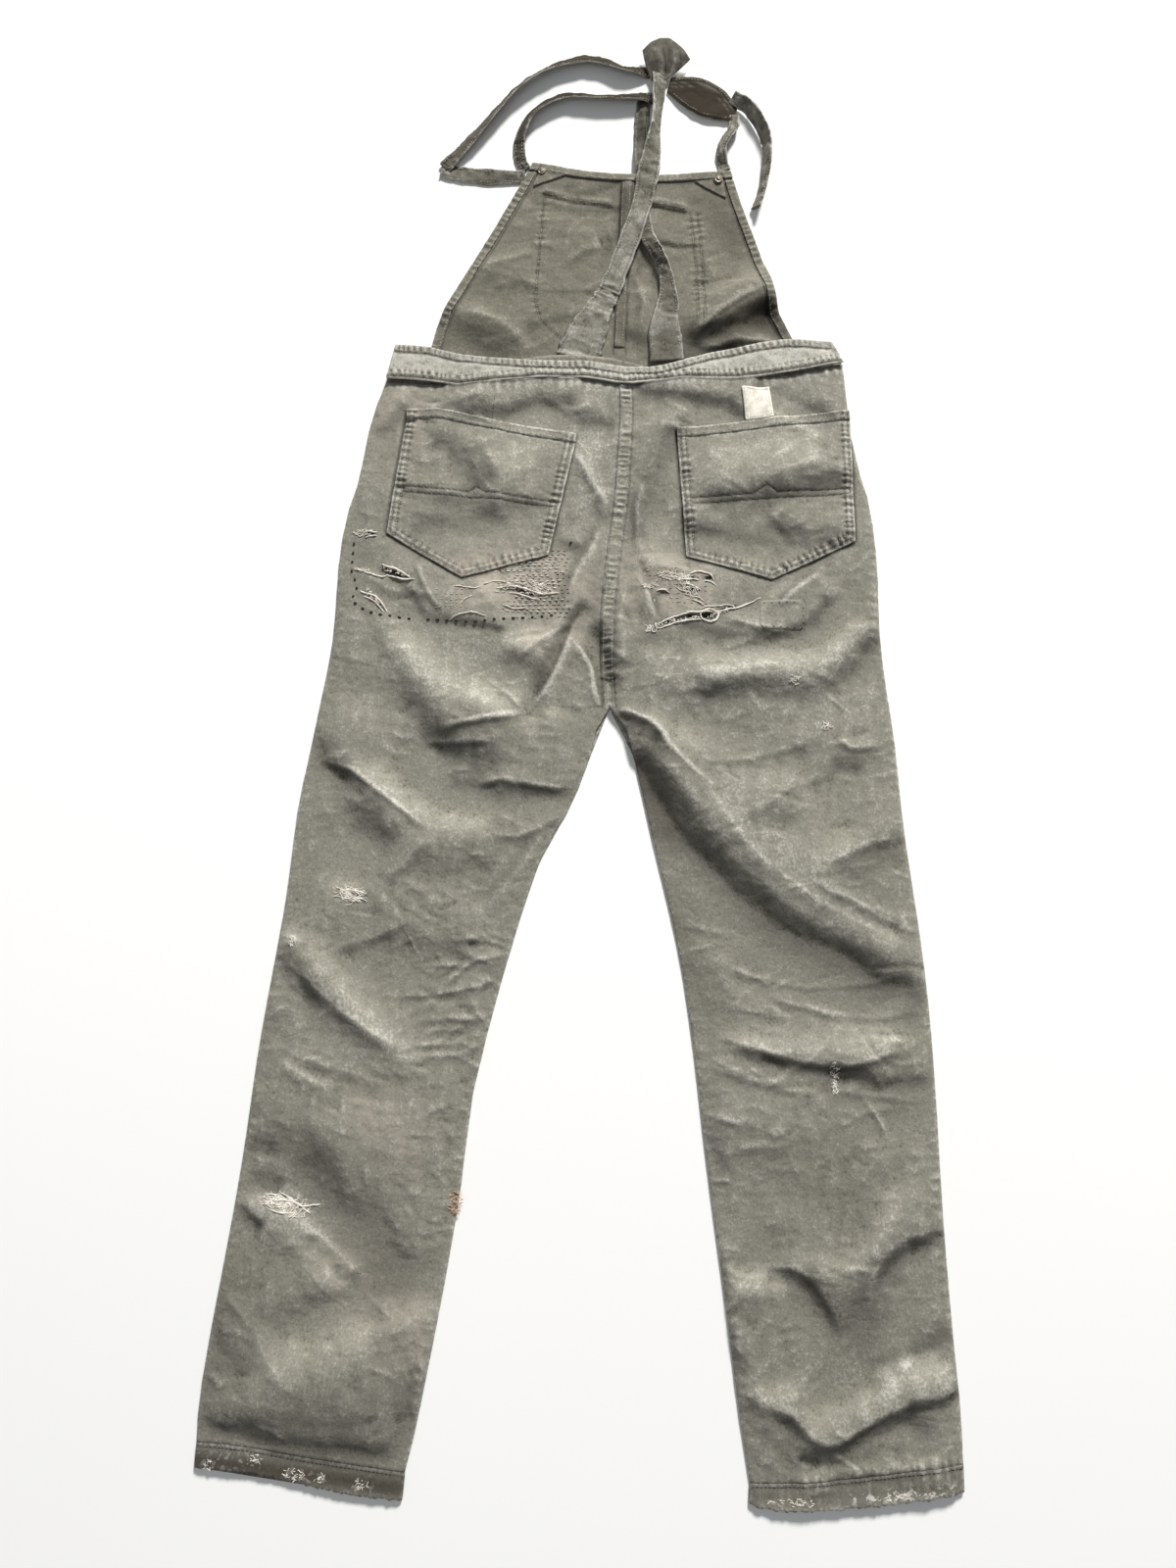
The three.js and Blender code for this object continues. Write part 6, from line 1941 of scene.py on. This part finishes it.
# Rolled edges of the tears and threads that hang out of them: (radius, points).
ROLLED_THREADS = [
    # right seat, the long tear
    (1.1, [(78, 80), (84, 84), (90, 86), (101, 90), (111, 93), (121, 93), (131, 97), (139, 94), (141, 89),
           (136, 84), (129, 83), (122, 87), (121, 92), (127, 94)]),
    (0.9, [(124, 95), (134, 94), (145, 95), (152, 98), (159, 98), (166, 101), (176, 106), (184, 110)]),
    (0.8, [(76, 82), (75, 78), (80, 75), (85, 78), (97, 82), (111, 85), (123, 85)]),
    (0.5, [(74, 78), (70, 75), (73, 71), (78, 73), (76, 77)]),
    (0.6, [(121, 97), (130, 100), (139, 100), (148, 102), (156, 101), (159, 95)]),
    # right seat, the small frays
    (0.7, [(77, 115), (82, 118), (87, 117), (91, 114)]),
    (0.8, [(98, 129), (103, 130), (108, 128), (115, 130), (122, 128)]),
    (0.6, [(102, 124), (109, 124), (115, 122), (123, 117)]),
    (0.8, [(111, 135), (117, 138), (122, 138), (130, 136), (135, 133), (137, 128)]),
    (0.7, [(125, 126), (130, 128), (134, 127), (139, 122)]),
    (0.6, [(107, 108), (114, 107), (121, 104), (128, 99)]),
    (0.5, [(96, 121), (102, 117), (110, 116), (116, 112)]),
    (0.5, [(104, 113), (112, 112), (120, 109), (126, 105)]),
    # left seat
    (0.8, [(-226, 177), (-220, 182), (-214, 180), (-210, 180)]),
    (0.7, [(-223, 174), (-218, 176), (-210, 176)]),
    (0.9, [(-234, 142), (-223, 138), (-213, 134), (-203, 131), (-197, 134)]),
    (1.0, [(-198, 133), (-190, 131), (-180, 128), (-170, 129)]),
    (1.2, [(-204, 146), (-200, 142), (-192, 141), (-184, 137), (-175, 131)]),
    (1.0, [(-226, 117), (-216, 113), (-209, 111), (-203, 104), (-197, 94)]),
    (0.8, [(-222, 111), (-214, 108), (-207, 102), (-201, 95)]),
    (0.9, [(-87, 119), (-74, 122), (-62, 121), (-51, 118), (-41, 114), (-22, 115)]),
    (0.8, [(-74, 115), (-62, 114), (-52, 110), (-41, 108)]),
    (0.7, [(-134, 86), (-125, 92), (-109, 94), (-96, 89)]),
    (0.6, [(-133, 121), (-124, 123), (-112, 119), (-101, 121)]),
    (0.7, [(-124, 102), (-119, 108), (-111, 112)]),
    (0.6, [(-80, 102), (-67, 98), (-54, 100)]),
    (0.6, [(-100, 124), (-87, 128), (-72, 125)]),
    # left knee and shin
    (0.7, [(-240, -186), (-231, -189), (-222, -188), (-212, -192)]),
    (0.6, [(-238, -195), (-228, -198), (-217, -196), (-209, -200)]),
    (0.9, [(-300, -478), (-288, -481), (-276, -480), (-262, -487), (-246, -485)]),
    (0.7, [(-285, -473), (-272, -480), (-263, -487), (-255, -493)]),
    (0.6, [(-294, -488), (-281, -492), (-270, -492)]),
]
THREAD_RISE = 0.35  # how far over the cloth a rolled edge's middle lies, in radii


def rolled_threads():
    lines, radii = [], []
    for number, (radius, points) in enumerate(ROLLED_THREADS):
        source = np.random.default_rng(320 + number)
        line = smoothed(points, 3, 6)
        line = line + source.normal(0, 0.22, line.shape)
        rise = THREAD_RISE * radius + 0.35 * np.abs(source.normal(0, 1, len(line)))
        rise[[0, -1]] = 0
        lines.append(np.column_stack([line, body.sample(line[:, 0], line[:, 1]) + rise]))
        radii.append(radius)
    return lines, radii


# The dark running stitches that hold the patches behind the seat, large and far apart.
RUNNING_LEFT = [
    (-234, 173), (-235, 153), (-236, 140), (-232, 130), (-229, 118), (-235, 108), (-227, 101), (-219, 96),
    (-207, 92), (-181, 89), (-144, 87), (-109, 84), (-72, 88), (-25, 92),
]
RUNNING_TOP = [(-25, 168), (-7, 169)]
RUNNING_RIGHT = [(184, 104), (227, 104), (227, 78), (184, 78)]


def running_stitches():
    rows = [(laid_on(line, body, 0.4), 9.8, 3.6, 1.4, 0.03) for line in (RUNNING_LEFT, RUNNING_TOP)]
    return rows + [(laid_on(RUNNING_RIGHT, body, 0.9), 7.5, 2.0, 0.8, 0.1)]


def darning_rows():
    """Close rows of pale running stitches over the worn seat."""
    rows = []
    source = np.random.default_rng(361)
    for number in range(16):
        y = 158 - 4.2 * number
        start = -84 + 26 * abs(math.sin(number * 1.9)) - (8 if 4 < number < 12 else 0)
        end = -14 - 12 * abs(math.sin(number * 1.3))
        line = [(start, y + source.normal(0, 0.8)), ((start + end) / 2, y + source.normal(0, 1.2)), (end, y)]
        rows.append((laid_on(line, body, 0.3), 6.2, 4.4, 0.7, 0.12))
    for number in range(10):
        y = 142 - 4.8 * number
        start, end = 64 + 2.2 * number, 116 + 14 * math.sin(number * 0.9)
        line = [(start, y), ((start + end) / 2, y + source.normal(0, 1.2)), (end, y + 2)]
        rows.append((laid_on(line, body, 0.25), 5.4, 3.2, 0.38, 0.35))
    for number in range(6):
        y = 124 - 5 * number
        line = [(-150, y), (-132, y + source.normal(0, 1.0)), (-116, y)]
        rows.append((laid_on(line, body, 0.25), 5.2, 3.2, 0.42, 0.3))
    return rows


def darning_gap_shade():
    """Dark stitch shapes between the darning's threads, as painted shade in the gaps."""
    source = np.random.default_rng(371)
    rows = []
    for number in range(18):
        y = 160 - 4.2 * number
        start = -88 + 26 * abs(math.sin(number * 1.9))
        line = [(start, y), ((start - 12) / 2, y + source.normal(0, 1.2)), (-12, y)]
        rows.append((laid_on(line, body, 0.0), 6.2, 3.0, 0.55, 0.2))
    for number in range(8):
        y = 138 - 4.8 * number
        rows.append((laid_on([(88, y), (134, y - 3)], body, 0.0), 7.2, 2.6, 0.45, 0.4))
    return rows


def build_threads(strap_stitch_rows):
    stitches("seam_stitches", seam_rows(), THREAD, 401)
    stitches("bib_stitches", bib_rows(), THREAD, 402)
    stitches("strap_stitches", strap_stitch_rows, THREAD, 403)
    stitches("patch_stitches", running_stitches(), DARK_THREAD_AND_GAP_SHADE, 404)
    stitches("dark_stitches", dark_rows(), DARK_THREAD_AND_GAP_SHADE, 406)
    # Painted shade between the darning rows.
    stitches("darning_gap_shade", darning_gap_shade(), DARK_THREAD_AND_GAP_SHADE, 407)
    stitches("darning_stitches", darning_rows(), DARNING, 405)
    pale, peach = frayed_threads()
    tubes("frayed_threads", pale, 0.36, PALE_THREAD, 4)
    tubes("peach_darn", peach, 0.36, PEACH_THREAD, 4)
    tubes("rolled_threads", *rolled_threads(), PALE_THREAD, 6)


# ---------------------------------------------------------------- stage, light and camera
FLOOR_REACH = 6.0
FLOOR_DEPTH = 0.0004  # the floor lies this far under the part


def floor_material():
    n = Nodes("pale_floor")
    colour = n.mix(n.noise(400, 2, 0.5), (0.93, 0.93, 0.92), (0.96, 0.96, 0.95))
    n.link(colour, n.surface.inputs["Base Color"])
    n.surface.inputs["Roughness"].default_value = 0.95
    return n.material


def make_floor():
    mesh = bpy.data.meshes.new(FLOOR)
    turns = ((-1, -1), (1, -1), (1, 1), (-1, 1))
    corners = [(x * FLOOR_REACH, y * FLOOR_REACH, -FLOOR_DEPTH) for x, y in turns]
    mesh.from_pydata(corners, [], [(0, 1, 2, 3)])
    mesh.materials.append(floor_material())
    plane = bpy.data.objects.new(FLOOR, mesh)
    bpy.context.scene.collection.objects.link(plane)


def area_light(name, place, size, power, colour):
    light = bpy.data.lights.new(name, "AREA")
    light.shape = "DISK"
    light.size = size
    light.energy = power
    light.color = colour
    lamp = bpy.data.objects.new(name, light)
    lamp.location = place
    lamp.rotation_mode = "QUATERNION"
    lamp.rotation_quaternion = (Vector((0, 0, 0)) - Vector(place)).to_track_quat("-Z", "Y")
    bpy.context.scene.collection.objects.link(lamp)


def make_light():
    area_light("key", (1.9, 6.0, 3.9), 1.5, 900, (1.0, 0.985, 0.96))
    area_light("fill", (-0.8, -1.2, 3.2), 2.5, 14, (0.96, 0.98, 1.0))
    world = bpy.data.worlds.new("room")
    world.use_nodes = True
    world.node_tree.nodes["Background"].inputs["Color"].default_value = (0.95, 0.97, 1.0, 1)
    world.node_tree.nodes["Background"].inputs["Strength"].default_value = 0.20
    bpy.context.scene.world = world


def make_camera():
    data = bpy.data.cameras.new("camera")
    data.lens = 27
    data.sensor_width = 36
    data.clip_start = 0.05
    camera = bpy.data.objects.new("camera", data)
    camera.location = (0.0074, -0.2665, 1.1655)
    camera.rotation_euler = (math.radians(9), 0, 0)
    bpy.context.scene.collection.objects.link(camera)
    bpy.context.scene.camera = camera


# ---------------------------------------------------------------- the garment on its floor
SEAT = [f"back_leg_{side}" for side in SIDES]
build_legs()
build_band()
build_pockets()
build_small_patches()
build_bib()
strap_stitch_rows = build_straps()
build_buttons()
build_threads(strap_stitch_rows)
make_floor()
make_light()
make_camera()
bpy.context.scene.view_settings.view_transform = "Standard"
